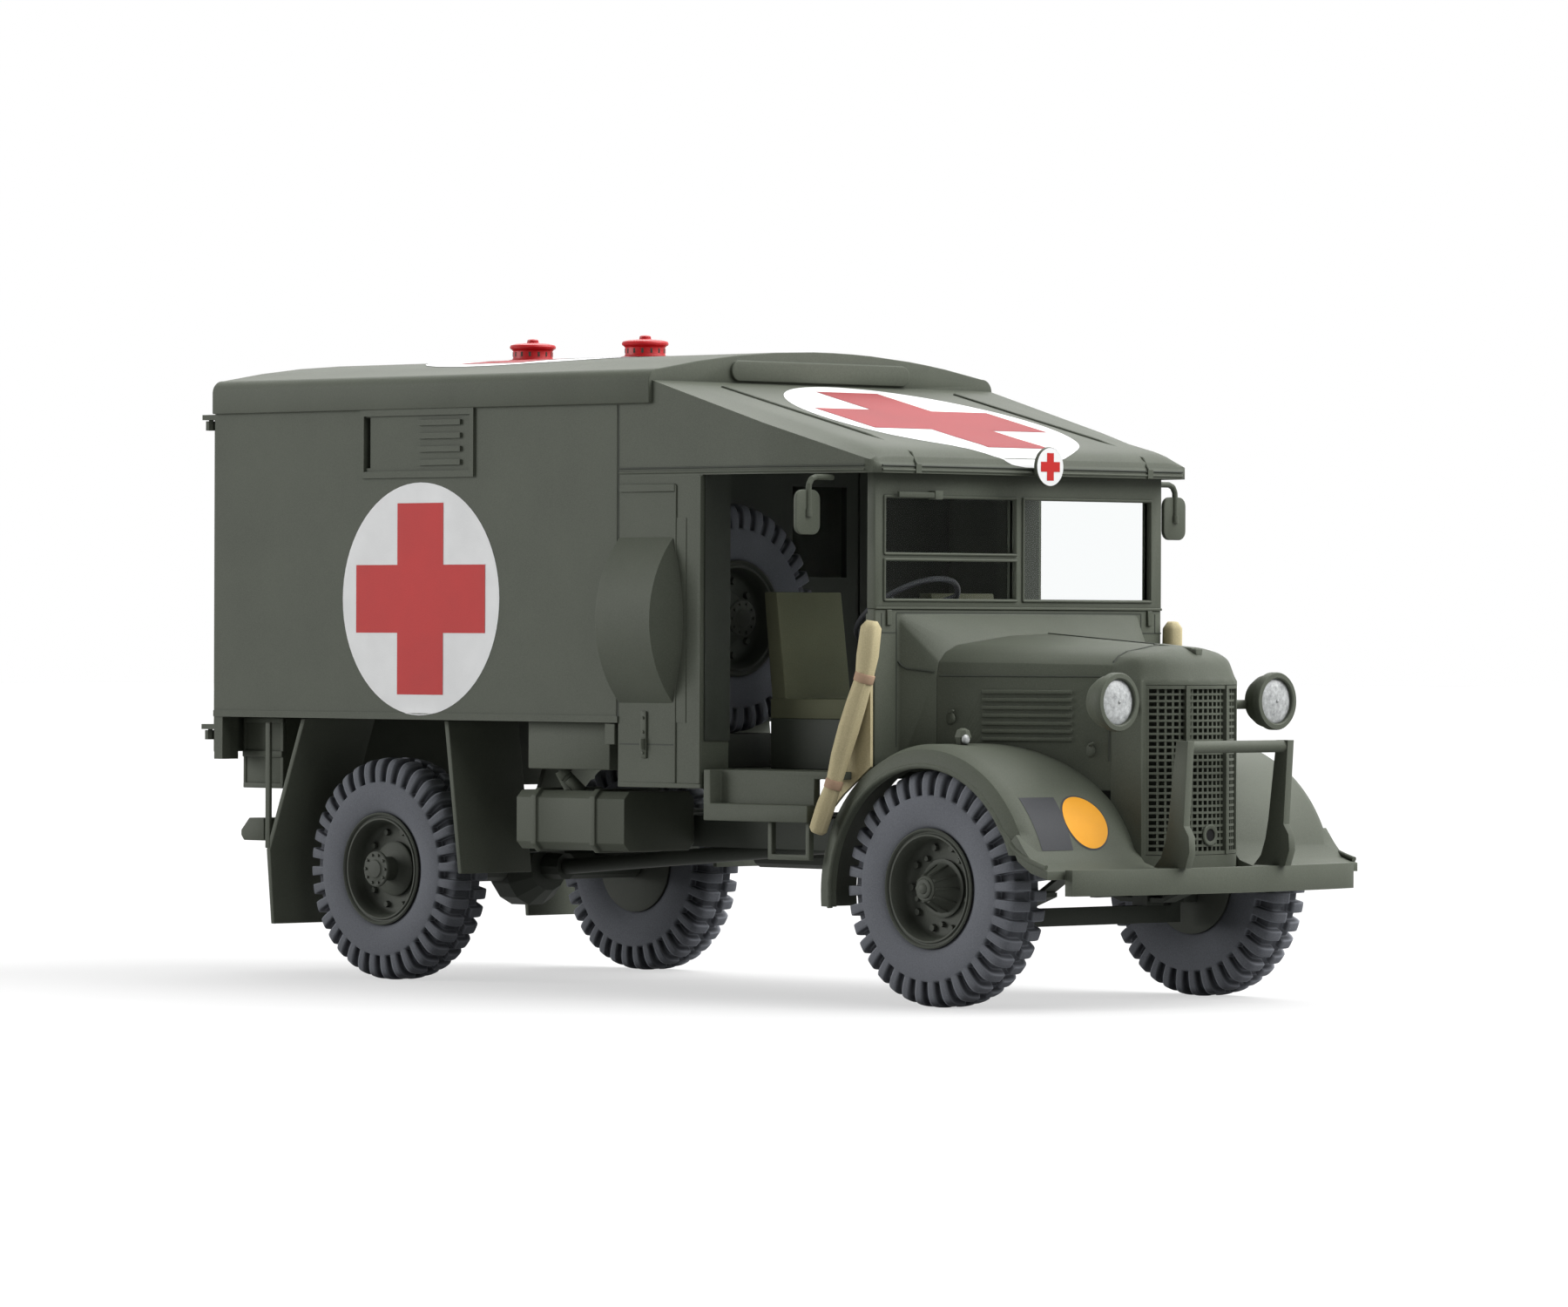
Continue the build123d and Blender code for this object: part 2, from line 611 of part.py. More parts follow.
# Dashboard ledge behind the scuttle plate, then the steering column and wheel
nodes["scuttle"] = scuttle + block(screen_x - frame_thick - 1.0, screen_x - frame_thick, -screen_half + 0.8,
                           screen_half - 0.8, 31.0, 34.6)
steer_radius = 5.0
steer_centre = Vector(-14.2, -7.8, 34.8)
steer_axis = Vector(-0.58, 0, 0.815)
steering = extrude(Plane(origin=steer_centre, z_dir=-steer_axis) * RegularPolygon(0.4, 8), amount=9.6)
steer_plane = Plane(origin=steer_centre, x_dir=(0, 1, 0), z_dir=steer_axis)
steer_rim = RegularPolygon(steer_radius + 0.3, 28) - RegularPolygon(steer_radius - 0.3, 28)
steering += steer_plane * extrude(steer_rim, amount=0.25, both=True)
for spoke in range(2):
    steering += steer_plane * Rot(0, 0, 90 * spoke + 45) * Box(2 * steer_radius, 0.4, 0.3)
nodes["steering_wheel"] = steering

# Bonnet: tapered shell from the scuttle to the nose, with side louvres
bonnet = hood_loft(*bonnet_sections(0.0, bonnet_side_bottom)) - hood_loft(*bonnet_sections(sheet, bonnet_side_bottom))
louvre_count = 7
louvre_pitch = 0.7
louvre_low = 23.4
side_run = Vector(bonnet_front - bonnet_rear, bonnet_rear_half - bonnet_front_half, 0)
side_turn = math.degrees(math.atan2(side_run.Y, side_run.X))
louvre_mid = Vector(bonnet_rear, -bonnet_rear_half, 0) + side_run * 0.52
for row in range(louvre_count):
    z = louvre_low + row * louvre_pitch
    rib = Pos(louvre_mid.X, louvre_mid.Y, z) * Rot(0, 0, side_turn) * Box(side_run.length * 0.515, 0.5, 0.36)
    bonnet += rib + left_copy(rib)
nodes["bonnet"] = bonnet

# Nose shell round the grille
grille_radius = (grille_half ** 2 + (grille_front - grille_edge_x) ** 2) / (2 * (grille_front - grille_edge_x))
grille_centre_x = grille_front - grille_radius
nose_bottom = grille_bottom - 1.3


bow_ys = (-grille_half, -4.2, -grille_rib_y, 0.0, grille_rib_y, 4.2, grille_half)


def bow(y, radius):
    return grille_centre_x + math.sqrt(radius ** 2 - y ** 2), y


def bowed_strip(outer, inner, half):
    ys = [max(-half, min(half, y)) for y in bow_ys]
    return outline(*[bow(y, outer) for y in ys], *[bow(y, inner) for y in reversed(ys)])


def nose_ring(inset, z):
    front = [(bow(y, grille_radius)[0] - inset, y * (1 - inset * 0.06), z) for y in bow_ys]
    rear_half = bonnet_front_half - inset * 0.2
    return [*front, (bonnet_front, rear_half, z), (bonnet_front, -rear_half, z)]


grille_top_edge = grille_top + 0.3
nose = skin([nose_ring(0.0, nose_bottom), nose_ring(0.0, grille_top_edge), nose_ring(0.7, 30.6),
             nose_ring(2.6, bonnet_ridge_front)])
nose_section = hood_section(*bonnet_sections(0.0, nose_bottom - 1)[1])
nose &= cross_slab(outline(*[(y, z) for x, y, z in nose_section]), bonnet_front, grille_front + 2)
recess_depth = 1.0
recess_half = grille_half - 0.3
nose -= plan_slab(bowed_strip(grille_radius + 3, grille_radius - recess_depth, recess_half), grille_bottom, grille_top)
nodes["nose_shell"] = nose

# Grille: frame, two ribs, upright posts and, in front of them, the rows of curved bars
frame_bar = 0.45
frame_half = recess_half - 0.05
bar_outer = grille_radius - 0.25
bar_inner = bar_outer - grille_bar
post_outer = bar_inner - 0.1
post_inner = post_outer - grille_bar
ring_low = grille_bottom + 0.05
ring_high = grille_top - 0.05
frame_plan = bowed_strip(bar_outer + 0.2, post_inner, frame_half)
grille = plan_slab(frame_plan, ring_low, ring_low + frame_bar) + plan_slab(frame_plan, ring_high - frame_bar, ring_high)
for edge_side in (-1, 1):
    y_edge = edge_side * frame_half
    y_in = edge_side * (frame_half - frame_bar)
    grille += block(bow(y_in, post_inner)[0], bow(y_edge, bar_outer + 0.2)[0], min(y_edge, y_in), max(y_edge, y_in),
                    ring_low, ring_high)
    y_rib = edge_side * grille_rib_y
    rib_x = bow(y_rib, bar_outer)[0] + 0.05
    grille += block(rib_x, rib_x + 0.3, y_rib - 0.22, y_rib + 0.22, ring_low, ring_high)
row_pitch = (ring_high - ring_low - frame_bar) / (grille_rows + 1)
bar_plan = bowed_strip(bar_outer, bar_inner, frame_half - 0.1)
for row in range(grille_rows):
    z = ring_low + frame_bar / 2 + (row + 1) * row_pitch
    grille += plan_slab(bar_plan, z - grille_bar / 2, z + grille_bar / 2)
panel_table = (
    # right edge Y, left edge Y, number of posts
    (-frame_half + frame_bar, -grille_rib_y, 4),
    (-grille_rib_y, grille_rib_y, 6),
    (grille_rib_y, frame_half - frame_bar, 4),
)
for y0, y1, posts in panel_table:
    for i in range(posts):
        y = y0 + (y1 - y0) * (i + 1) / (posts + 1)
        x_back = bow(abs(y) - grille_bar / 2, post_inner)[0]
        x_face = bow(abs(y) + grille_bar / 2, post_outer)[0]
        grille += block(x_back, x_face, y - grille_bar / 2, y + grille_bar / 2, ring_low, ring_high)
nodes["grille"] = grille

# Wings: pressed sheet turned about a line across the wheel, with a rounded outer shoulder and a front flange
def wing_section(inset):
    side = -wing_outer + inset
    top = wing_radius - inset
    curve = wing_shoulder - inset * 0.4
    return [(-wing_inner, top), (side + curve, top), (side + curve * 0.29, top - curve * 0.29),
            (side, top - curve), (side, wing_lip_radius)]


wing_face = Plane.YZ * outline(*wing_section(0.0), *reversed(wing_section(wing_sheet)))
wing = Pos(0, 0, wing_centre_z) * revolve(wing_face, Axis.Y)
wing -= block(-20, 12.6, -30, 0, -10, wing_rear_bottom)
wing -= block(0, 20, -30, 0, -10, 13.4)
flange = outline((10.9, 14.6), (11.6, 15.2), (12.6, 13.9), (13.8, 12.6), (wing_flange_front, 12.1),
                 (wing_flange_front, 11.35), (13.4, 11.9), (11.8, 12.9))
wing += side_slab(flange, -wing_outer, -wing_inner)
hood_core = hood_loft(*bonnet_sections(0.0, 5.0)) + cowl_body(5.0)
hood_core += block(screen_x - 10, screen_x + 0.1, -cowl_half, cowl_half, 5.0, 40)
hood_core += skin([nose_ring(0.0, 5.0), nose_ring(0.0, 30.0)])
hood_core += block(grille_edge_x - 1, grille_front + 3, -grille_half, grille_half, 5, 30)
wing -= hood_core
nodes["wing_right"] = wing
nodes["wing_left"] = left_copy(wing)

# Side lamps on the wings
side_lamps = None
for lamp_side in (-1, 1):
    pod_low = wing_centre_z + wing_radius
    pod = polygon_stack([(0.55, 0.0), (0.8, 0.6), (0.6, 1.2), (0.2, 1.4)], 8)
    pod = Pos(1.0, lamp_side * 16.2, pod_low) * pod
    side_lamps = pod if side_lamps is None else side_lamps + pod
nodes["side_lamps"] = side_lamps

# Bumper, bowed forward, with the brush guard bolted on top
bumper_arc = ThreePointArc((bumper_end_x, -bumper_half), (bumper_mid_x, 0), (bumper_end_x, bumper_half))
bumper_back = ThreePointArc((bumper_end_x - 0.9, -bumper_half), (bumper_mid_x - 0.9, 0),
                            (bumper_end_x - 0.9, bumper_half))
bumper_face = make_face([bumper_arc, bumper_back, Line(bumper_arc @ 0, bumper_back @ 0),
                         Line(bumper_arc @ 1, bumper_back @ 1)])
iron_bottom = bumper_bottom + 0.3
iron_top = bumper_bottom + 1.35
bumper = plan_slab(bumper_face, bumper_bottom, bumper_bottom + bumper_height)
for rail_side in (-1, 1):
    y_mid = rail_side * spring_y
    bumper += block(chassis_front - 1.4, bumper_mid_x - 1.4, y_mid - 0.5, y_mid + 0.5, iron_bottom, iron_top)
    bumper += block(chassis_front - 1.4, chassis_front, y_mid - 0.5, y_mid + 0.5, iron_top, rail_bottom)
nodes["front_bumper"] = bumper

bumper_top = bumper_bottom + bumper_height
guard = rod_y(18.9, guard_top - guard_bar_radius, guard_bar_radius, -guard_y, guard_y)
for guard_side in (-1, 1):
    y_mid = guard_side * guard_y
    post = side_slab(outline((15.55, bumper_top), (16.4, 13.1), (16.95, 14.6), (17.3, 16.4), (18.2, guard_top),
                             (19.6, guard_top), (19.1, 15.9), (19.7, 15.0), (19.8, 13.6), (19.3, bumper_top)),
                     y_mid - 0.4, y_mid + 0.4)
    guard += post
nodes["brush_guard"] = guard

# Headlamps
lamps = None
lenses = None
for lamp_side in (-1, 1):
    y_mid = lamp_side * lamp_y
    bowl = polygon_stack([(1.2, -3.1), (lamp_radius, -1.2), (lamp_radius, 0)], 20)
    bowl -= polygon_stack([(lens_radius, -0.5), (lens_radius, 0)], 20)
    bowl = Pos(lamp_front, 0, 0) * Rot(0, 90, 0) * bowl
    stalk = block(12.0, 12.8, min(y_mid, lamp_side * (grille_half + 0.5)), max(y_mid, lamp_side * (grille_half + 0.5)),
                  lamp_z - 0.7, lamp_z + 0.1)
    lamp = Pos(0, y_mid, lamp_z) * bowl + stalk
    lens = Pos(lamp_front, y_mid, lamp_z) * Rot(0, 90, 0) * polygon_stack([(lens_radius, -0.5), (lens_radius, 0)], 20)
    lamps = lamp if lamps is None else lamps + lamp
    lenses = lens if lenses is None else lenses + lens
nodes["headlamps"] = lamps
nodes["headlamp_lenses"] = lenses

# Mirrors on bent arms at the cab roof corners
mirror_x = -10.7
mirror_y = body_half + 1.95
mirror_arm_end = body_half - 0.65
mirror_z = 43.55
mirror_top = 47.0
mirrors = None
for mirror_side in (-1, 1):
    head = block(mirror_x - 0.25, mirror_x + 0.25, mirror_y - 1.5, mirror_y + 1.5, mirror_z - 2, mirror_z + 2)
    head = Pos(0, mirror_side * mirror_y - mirror_y, 0) * chamfer(head.edges().filter_by(Axis.X), 0.8)
    arm = block(mirror_x - 0.25, mirror_x + 0.25, mirror_side * mirror_y - 0.3, mirror_side * mirror_y + 0.3,
                mirror_z + 1.8, mirror_top)
    arm += block(mirror_x - 0.25, mirror_x + 0.25, min(mirror_side * mirror_y, mirror_side * mirror_arm_end),
                 max(mirror_side * mirror_y, mirror_side * mirror_arm_end), mirror_top - 0.6, mirror_top)
    piece = head + arm
    mirrors = piece if mirrors is None else mirrors + piece
nodes["mirrors"] = mirrors

# Rear frame and the two rear doors on their corner pins
rear_frame = block(body_rear, body_rear + wall, -inner_half, inner_half, body_floor, gutter_bottom)
rear_frame -= block(body_rear - 1, body_rear + 2, -inner_half + 1.2, inner_half - 1.2, body_floor + 0.8,
                    gutter_bottom - 1.0)
for pillar_side in (-1, 1):
    y_mid = pillar_side * (inner_half - 0.6)
    rear_frame += block(body_rear, body_rear + wall, y_mid - 0.6, y_mid + 0.6, pillar_bottom, body_floor)
nodes["rear_frame"] = rear_frame

door_face = body_rear - door_gap
door_low = 21.1
door_high = 53.6
door_window = (-14.6, -5.6, 38.5, 47.5)
pane_thick = 0.3
door = block(door_face - door_thick, door_face, -hinge_y, -door_gap / 2, door_low, door_high)
door -= block(door_face - 2, door_face + 1, *door_window)
for knuckle_z in hinge_heights:
    knuckle_low = knuckle_z - knuckle_height / 2
    door += Pos(hinge_x, -hinge_y, knuckle_low) * polygon_stack([(knuckle_radius, 0), (knuckle_radius, knuckle_height)], 8)
for knuckle_z in hinge_heights:
    door -= Pos(hinge_x, -hinge_y, knuckle_z) * Cylinder(pin_radius + running_fit, knuckle_height)
nodes["rear_door_right"] = door
nodes["rear_door_left"] = left_copy(door)
pane_x = door_face - door_thick / 2
door_pane = block(pane_x - pane_thick / 2, pane_x + pane_thick / 2, *door_window)
nodes["rear_pane_right"] = door_pane
nodes["rear_pane_left"] = left_copy(door_pane)

# Mudflaps, lockers and the rear step
flap_outer = -body_half + 1.05
flap_inner = flap_outer + 9.0
flap_top = body_floor - 0.1
behind = -wheelbase - 9.0
ahead = -wheelbase + 11.3
flaps = side_slab(outline((behind, flap_top), (behind - 5.0, 11.75), (behind - 4.3, 4.65), (behind - 3.8, 4.65),
                          (behind - 4.4, 11.75), (behind + 0.6, flap_top)), flap_outer, flap_inner)
flaps += side_slab(outline((ahead, flap_top), (ahead + 2.0, 10.1), (ahead + 2.5, 10.1), (ahead + 0.6, flap_top)),
                   flap_outer, flap_inner)
flaps += left_copy(flaps)
nodes["mudflaps"] = flaps

lockers = block(-wheelbase * 0.6936, -wheelbase * 0.5431, -body_half + 1.5, -11.0, 20.1, body_floor)
lockers += block(body_rear + 0.9, body_rear + 6.4, -body_half + 3.25, body_half - 3.25, 17.6, body_floor)
nodes["underbody_lockers"] = lockers

# Rolled canvas door curtains at the front edge of the openings
canvas = None
for canvas_side in (-1, 1):
    knee = (-9.0, canvas_side * 21.2, 25.0)
    rings = []
    for x, y, z in ((-6.9, cab_front_half - 0.6, 33.6), (-9.0, body_half - 1.05, 25.0), (-11.2, body_half + 0.05, 15.2)):
        turns = [2 * math.pi * i / 8 for i in range(8)]
        rings.append([(x + 0.9 * math.cos(turn), canvas_side * y + 0.9 * math.sin(turn), z) for turn in turns])
    roll = skin(rings)
    canvas = roll if canvas is None else canvas + roll
nodes["canvas_curtains"] = canvas

front_most = max(shape.bounding_box().max.X for shape in nodes.values())
rear_most = min(shape.bounding_box().min.X for shape in nodes.values())
origin_shift = Pos(-(front_most + rear_most) / 2, 0, tyre_radius - axle_height)
for name, shape in nodes.items():
    export_step(origin_shift * shape, "parts/" + name + ".step")
print("overall length", round(front_most - rear_most, 3), "front axle station", round(-(front_most + rear_most) / 2, 4))
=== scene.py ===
import bpy
import bmesh
import math
from mathutils import Matrix, Vector
from mathutils.bvhtree import BVHTree


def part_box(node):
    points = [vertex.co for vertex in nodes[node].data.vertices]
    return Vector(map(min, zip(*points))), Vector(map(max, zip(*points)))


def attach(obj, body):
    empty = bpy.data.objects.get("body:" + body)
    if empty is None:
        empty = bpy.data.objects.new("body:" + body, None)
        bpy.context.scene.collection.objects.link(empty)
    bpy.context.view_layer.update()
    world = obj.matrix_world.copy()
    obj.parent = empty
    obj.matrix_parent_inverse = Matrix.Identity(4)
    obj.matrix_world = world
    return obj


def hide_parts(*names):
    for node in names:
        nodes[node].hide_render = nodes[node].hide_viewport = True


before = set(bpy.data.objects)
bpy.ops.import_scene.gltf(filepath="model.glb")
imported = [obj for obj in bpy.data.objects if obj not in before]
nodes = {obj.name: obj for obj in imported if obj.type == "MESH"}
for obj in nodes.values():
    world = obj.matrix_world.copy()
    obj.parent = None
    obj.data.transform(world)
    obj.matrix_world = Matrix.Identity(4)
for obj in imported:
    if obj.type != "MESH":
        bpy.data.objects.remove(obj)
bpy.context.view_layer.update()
scene = bpy.context.scene
mm = 0.001

tyreLow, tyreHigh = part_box("tyre_front_right")
rearLow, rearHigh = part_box("tyre_rear_right")
axleX = (tyreLow.x + tyreHigh.x) / 2
rearX = (rearLow.x + rearHigh.x) / 2
axleZ = (tyreLow.z + tyreHigh.z) / 2
datumZ = axleZ - 10.2 * mm


# Places are in millimetres: forward of the front axle, left of the middle, up from 10.2 below the wheel centres
def at(x, y, z):
    return Vector((axleX + x * mm, y * mm, datumZ + z * mm))


def newMaterial(name, colour, roughness, metallic=0.0):
    material = bpy.data.materials.new(name)
    material.use_nodes = True
    shader = material.node_tree.nodes["Principled BSDF"]
    shader.inputs["Base Color"].default_value = (*colour, 1)
    shader.inputs["Roughness"].default_value = roughness
    shader.inputs["Metallic"].default_value = metallic
    return material, material.node_tree, shader


def addNode(tree, kind, **values):
    node = tree.nodes.new(kind)
    for key, value in values.items():
        if key in node.inputs:
            node.inputs[key].default_value = value
        else:
            setattr(node, key, value)
    return node


def noiseOf(tree, scale, detail=2.0, rough=0.5):
    place = addNode(tree, "ShaderNodeTexCoord")
    noise = addNode(tree, "ShaderNodeTexNoise", Scale=scale, Detail=detail, Roughness=rough)
    tree.links.new(place.outputs["Object"], noise.inputs["Vector"])
    return noise.outputs["Fac"]


def rampOf(tree, source, stops):
    ramp = addNode(tree, "ShaderNodeValToRGB")
    while len(ramp.color_ramp.elements) < len(stops):
        ramp.color_ramp.elements.new(0.5)
    for element, (place, value) in zip(ramp.color_ramp.elements, stops):
        element.position = place
        element.color = (*value, 1) if isinstance(value, tuple) else (value, value, value, 1)
    tree.links.new(source, ramp.inputs["Fac"])
    return ramp.outputs["Color"]


def mixOf(tree, factor, first, second, blend="MIX"):
    mix = addNode(tree, "ShaderNodeMix", data_type="RGBA", blend_type=blend)
    for socket, value in ((mix.inputs[0], factor), (mix.inputs[6], first), (mix.inputs[7], second)):
        if isinstance(value, bpy.types.NodeSocket):
            tree.links.new(value, socket)
        elif isinstance(value, tuple):
            socket.default_value = (*value, 1)
        else:
            socket.default_value = value
    return mix.outputs[2]


# Brushed-on model paint: mottling, fine grain, a dark wash and painted shade in corners and recesses, light dry-brushed
# edges
# The wash-and-shade share and edge are the shares of darker and lighter paint there, and edgeWidth is in metres
def paintMaterial(name, colour, washAndShade=0.45, edge=0.35, roughness=0.62, grain=0.12, edgeWidth=0.00012):
    material, tree, shader = newMaterial(name, colour, roughness)
    shader.inputs["Specular IOR Level"].default_value = 0.25
    light = tuple(min(1.0, c * 1.75 + 0.03) for c in colour)
    darkShade = tuple(c * 0.25 for c in colour)
    mottled = mixOf(tree, rampOf(tree, noiseOf(tree, 160, 4), ((0.3, 0.0), (0.7, 1.0))),
                    tuple(c * 0.93 for c in colour), tuple(c * 1.07 for c in colour))
    speck = rampOf(tree, noiseOf(tree, 9000, 2, 0.6), ((0.35, 0.0), (0.75, 1.0)))
    grained = mixOf(tree, mixOf(tree, 1.0, speck, (grain, grain, grain), "MULTIPLY"), mottled, light)
    # Painted shade: occlusion darkens corners, creases and recesses towards the dark colour, on top of the panel-line
    # wash
    corner = addNode(tree, "ShaderNodeAmbientOcclusion", Distance=0.0011, samples=8)
    washedAndShaded = mixOf(tree, rampOf(tree, corner.outputs["AO"], ((0.25, washAndShade), (0.85, 0.0))), grained, darkShade)
    bevel = addNode(tree, "ShaderNodeBevel", Radius=edgeWidth, samples=4)
    surface = addNode(tree, "ShaderNodeNewGeometry")
    dot = addNode(tree, "ShaderNodeVectorMath", operation="DOT_PRODUCT")
    tree.links.new(bevel.outputs["Normal"], dot.inputs[0])
    tree.links.new(surface.outputs["True Normal"], dot.inputs[1])
    worn = rampOf(tree, dot.outputs["Value"], ((0.78, edge), (0.97, 0.0)))
    tree.links.new(mixOf(tree, worn, washedAndShaded, light), shader.inputs["Base Color"])
    bump = addNode(tree, "ShaderNodeBump", Strength=0.25, Distance=0.00002)
    tree.links.new(speck, bump.inputs["Height"])
    tree.links.new(bump.outputs["Normal"], shader.inputs["Normal"])
    return material


paint = paintMaterial("oliveGreenPaint", (0.0725, 0.0815, 0.0610), grain=0.2)
wheelPaint = paintMaterial("wheelPaint", (0.062, 0.068, 0.055), washAndShade=0.7, edge=0.3)
chassisPaint = paintMaterial("chassisPaint", (0.042, 0.048, 0.038), washAndShade=0.6, edge=0.2)
tyrePaint = paintMaterial("tyrePaint", (0.142, 0.150, 0.168), washAndShade=0.95, edge=0.6, roughness=0.85, grain=0.3)
redPaint = paintMaterial("ventilatorRed", (0.44, 0.012, 0.016), washAndShade=0.5, edge=0.15, roughness=0.4, grain=0.03)
seatPaint = paintMaterial("seatPaint", (0.10, 0.105, 0.062), roughness=0.75)
canvasPaint = paintMaterial("canvasKhaki", (0.47, 0.41, 0.245), roughness=0.85, grain=0.25)
strapPaint = paintMaterial("strapTan", (0.40, 0.27, 0.18), roughness=0.8)
markWhite = paintMaterial("markWhite", (0.86, 0.87, 0.87), washAndShade=0.3, edge=0.0, roughness=0.5, grain=0.04)
markRed = paintMaterial("markRed", (0.52, 0.014, 0.012), washAndShade=0.2, edge=0.0, roughness=0.5, grain=0.04)
roofRed = paintMaterial("roofRed", (0.26, 0.014, 0.018), washAndShade=0.2, edge=0.0, roughness=0.6, grain=0.04)
# Painted shade: a darker copy of the green for the cab's inside and the posts beside the seats
interiorShadePaint = paintMaterial("interiorShadePaint", (0.034, 0.039, 0.030), washAndShade=0.6, edge=0.3)
shadePaint = paintMaterial("deepShade", (0.008, 0.008, 0.008), washAndShade=0.1, edge=0.0, roughness=0.9, grain=0.02)
markYellow = paintMaterial("markYellow", (0.78, 0.34, 0.010), washAndShade=0.3, edge=0.0, roughness=0.5, grain=0.04)
markDark = paintMaterial("markDark", (0.034, 0.036, 0.040), washAndShade=0.3, edge=0.1, roughness=0.6)
# Painted shade: a darker green for seam lines, grooves and slots
grooveShadePaint = paintMaterial("grooveShade", (0.040, 0.046, 0.036), washAndShade=0.2, edge=0.0)
silver, silverTree, silverShader = newMaterial("lampSilver", (0.5, 0.5, 0.5), 0.22)
flutes = rampOf(silverTree, noiseOf(silverTree, 2300, 3, 0.65),
                ((0.32, (0.30, 0.31, 0.31)), (0.68, (0.58, 0.60, 0.60))))
shaded = addNode(silverTree, "ShaderNodeAmbientOcclusion", Distance=0.0007, samples=8)
silverTree.links.new(mixOf(silverTree, rampOf(silverTree, shaded.outputs["AO"], ((0.3, 1.0), (0.8, 0.0))), flutes,
                           (0.10, 0.11, 0.11)), silverShader.inputs["Base Color"])

glass, glassTree, glassShader = newMaterial("clearPane", (0.95, 0.97, 0.97), 0.03)
glassShader.inputs["Transmission Weight"].default_value = 1.0
glassShader.inputs["IOR"].default_value = 1.1

finishes = (
    # words in a node's name, material
    (("tyre",), tyrePaint),
    (("wheel_front", "wheel_rear", "spare_wheel"), wheelPaint),
    (("chassis", "axle", "springs", "engine", "shaft", "exhaust"), chassisPaint),
    (("steering",), markDark),
    (("ventilators",), redPaint),
    (("seats",), seatPaint),
    (("seat_boxes", "body_front", "bulkhead"), interiorShadePaint),
    (("canvas",), canvasPaint),
    (("pane",), glass),
    (("lenses",), silver),
)
for name, node in nodes.items():
    found = [material for words, material in finishes if any(word in name for word in words)]
    node.data.materials.clear()
    node.data.materials.append(found[0] if found else paint)
print("materials on", len(nodes), "nodes")


# A finished piece on its body, with its place in its mesh
def makePiece(name, bm, material, body="vehicle", smooth=40):
    mesh = bpy.data.meshes.new(name)
    bm.normal_update()
    bm.to_mesh(mesh)
    bm.free()
    mesh.materials.append(material)
    piece = bpy.data.objects.new(name, mesh)
    scene.collection.objects.link(piece)
    mesh.shade_smooth()
    mesh.set_sharp_from_angle(angle=math.radians(smooth))
    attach(piece, body)
    return piece


def addBox(bm, low, high):
    made = bmesh.ops.create_cube(bm, size=1)
    size = Vector(high) - Vector(low)
    bmesh.ops.transform(bm, matrix=Matrix.Translation((Vector(low) + Vector(high)) / 2) @ Matrix.Diagonal((*size, 1)),
                        verts=made["verts"])
    return made["verts"]


def addBlock(bm, x, y, z):
    return addBox(bm, at(min(x), min(y), min(z)), at(max(x), max(y), max(z)))


def addRod(bm, start, end, radius, sides=10, endRadius=None):
    run = end - start
    made = bmesh.ops.create_cone(bm, cap_ends=True, segments=sides, radius1=radius * mm,
                                 radius2=(radius if endRadius is None else endRadius) * mm, depth=run.length)
    turn = run.to_track_quat("Z", "Y").to_matrix().to_4x4()
    bmesh.ops.transform(bm, matrix=Matrix.Translation((start + end) / 2) @ turn, verts=made["verts"])
    return made["verts"]


# A bead along a line of points, its joints filled by small balls
def addBead(bm, points, radius, sides=8):
    for start, end in zip(points, points[1:]):
        addRod(bm, start, end, radius, sides)
    for point in points[1:-1]:
        ball = bmesh.ops.create_icosphere(bm, subdivisions=1, radius=radius * mm)
        bmesh.ops.translate(bm, vec=point, verts=ball["verts"])


# Sharp edges rounded, from a corner in degrees upwards
def bevelSharp(bm, width, corner=30, segments=2):
    edges = [edge for edge in bm.edges if edge.is_manifold and corner < math.degrees(edge.calc_face_angle())]
    bmesh.ops.bevel(bm, geom=edges, offset=width * mm, offset_type="OFFSET", affect="EDGES", segments=segments,
                    profile=0.5, material=-1, clamp_overlap=True)


# A copy on the other side of the middle
def addMirror(bm):
    doubled = bmesh.ops.duplicate(bm, geom=bm.verts[:] + bm.edges[:] + bm.faces[:])
    verts = [item for item in doubled["geom"] if isinstance(item, bmesh.types.BMVert)]
    faces = [item for item in doubled["geom"] if isinstance(item, bmesh.types.BMFace)]
    bmesh.ops.scale(bm, vec=(1, -1, 1), verts=verts)
    bmesh.ops.reverse_faces(bm, faces=faces)


# A merged copy of a node's loose triangles, with its flat faces joined
def mergedCopy(node):
    bm = bmesh.new()
    bm.from_mesh(nodes[node].data)
    bmesh.ops.remove_doubles(bm, verts=bm.verts[:], dist=0.000002)
    bmesh.ops.dissolve_limit(bm, angle_limit=math.radians(1.5), verts=bm.verts[:], edges=bm.edges[:])
    return bm


def sliceAll(bm, place, normal, clear=False):
    bmesh.ops.bisect_plane(bm, geom=bm.verts[:] + bm.edges[:] + bm.faces[:], plane_co=place, plane_no=normal,
                           clear_outer=clear)


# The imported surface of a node, to set small things on
def surfaceOf(*names):
    bm = bmesh.new()
    for name in names:
        bm.from_mesh(nodes[name].data)
    tree = BVHTree.FromBMesh(bm)
    bm.free()
    return tree


def dropOnto(tree, point, direction, lift=0.0):
    hit = tree.ray_cast(point, direction)
    if hit[0] is None:
        return None
    return hit[0] - direction.normalized() * lift * mm


down = Vector((0, 0, -1))
inward = Vector((0, 1, 0))


# A flat mark a hair above the paint, facing along its normal
def flatShape(bm, points, place, turn):
    verts = [bm.verts.new(place + turn @ Vector((x * mm, y * mm, 0))) for x, y in points]
    return bm.faces.new(verts)


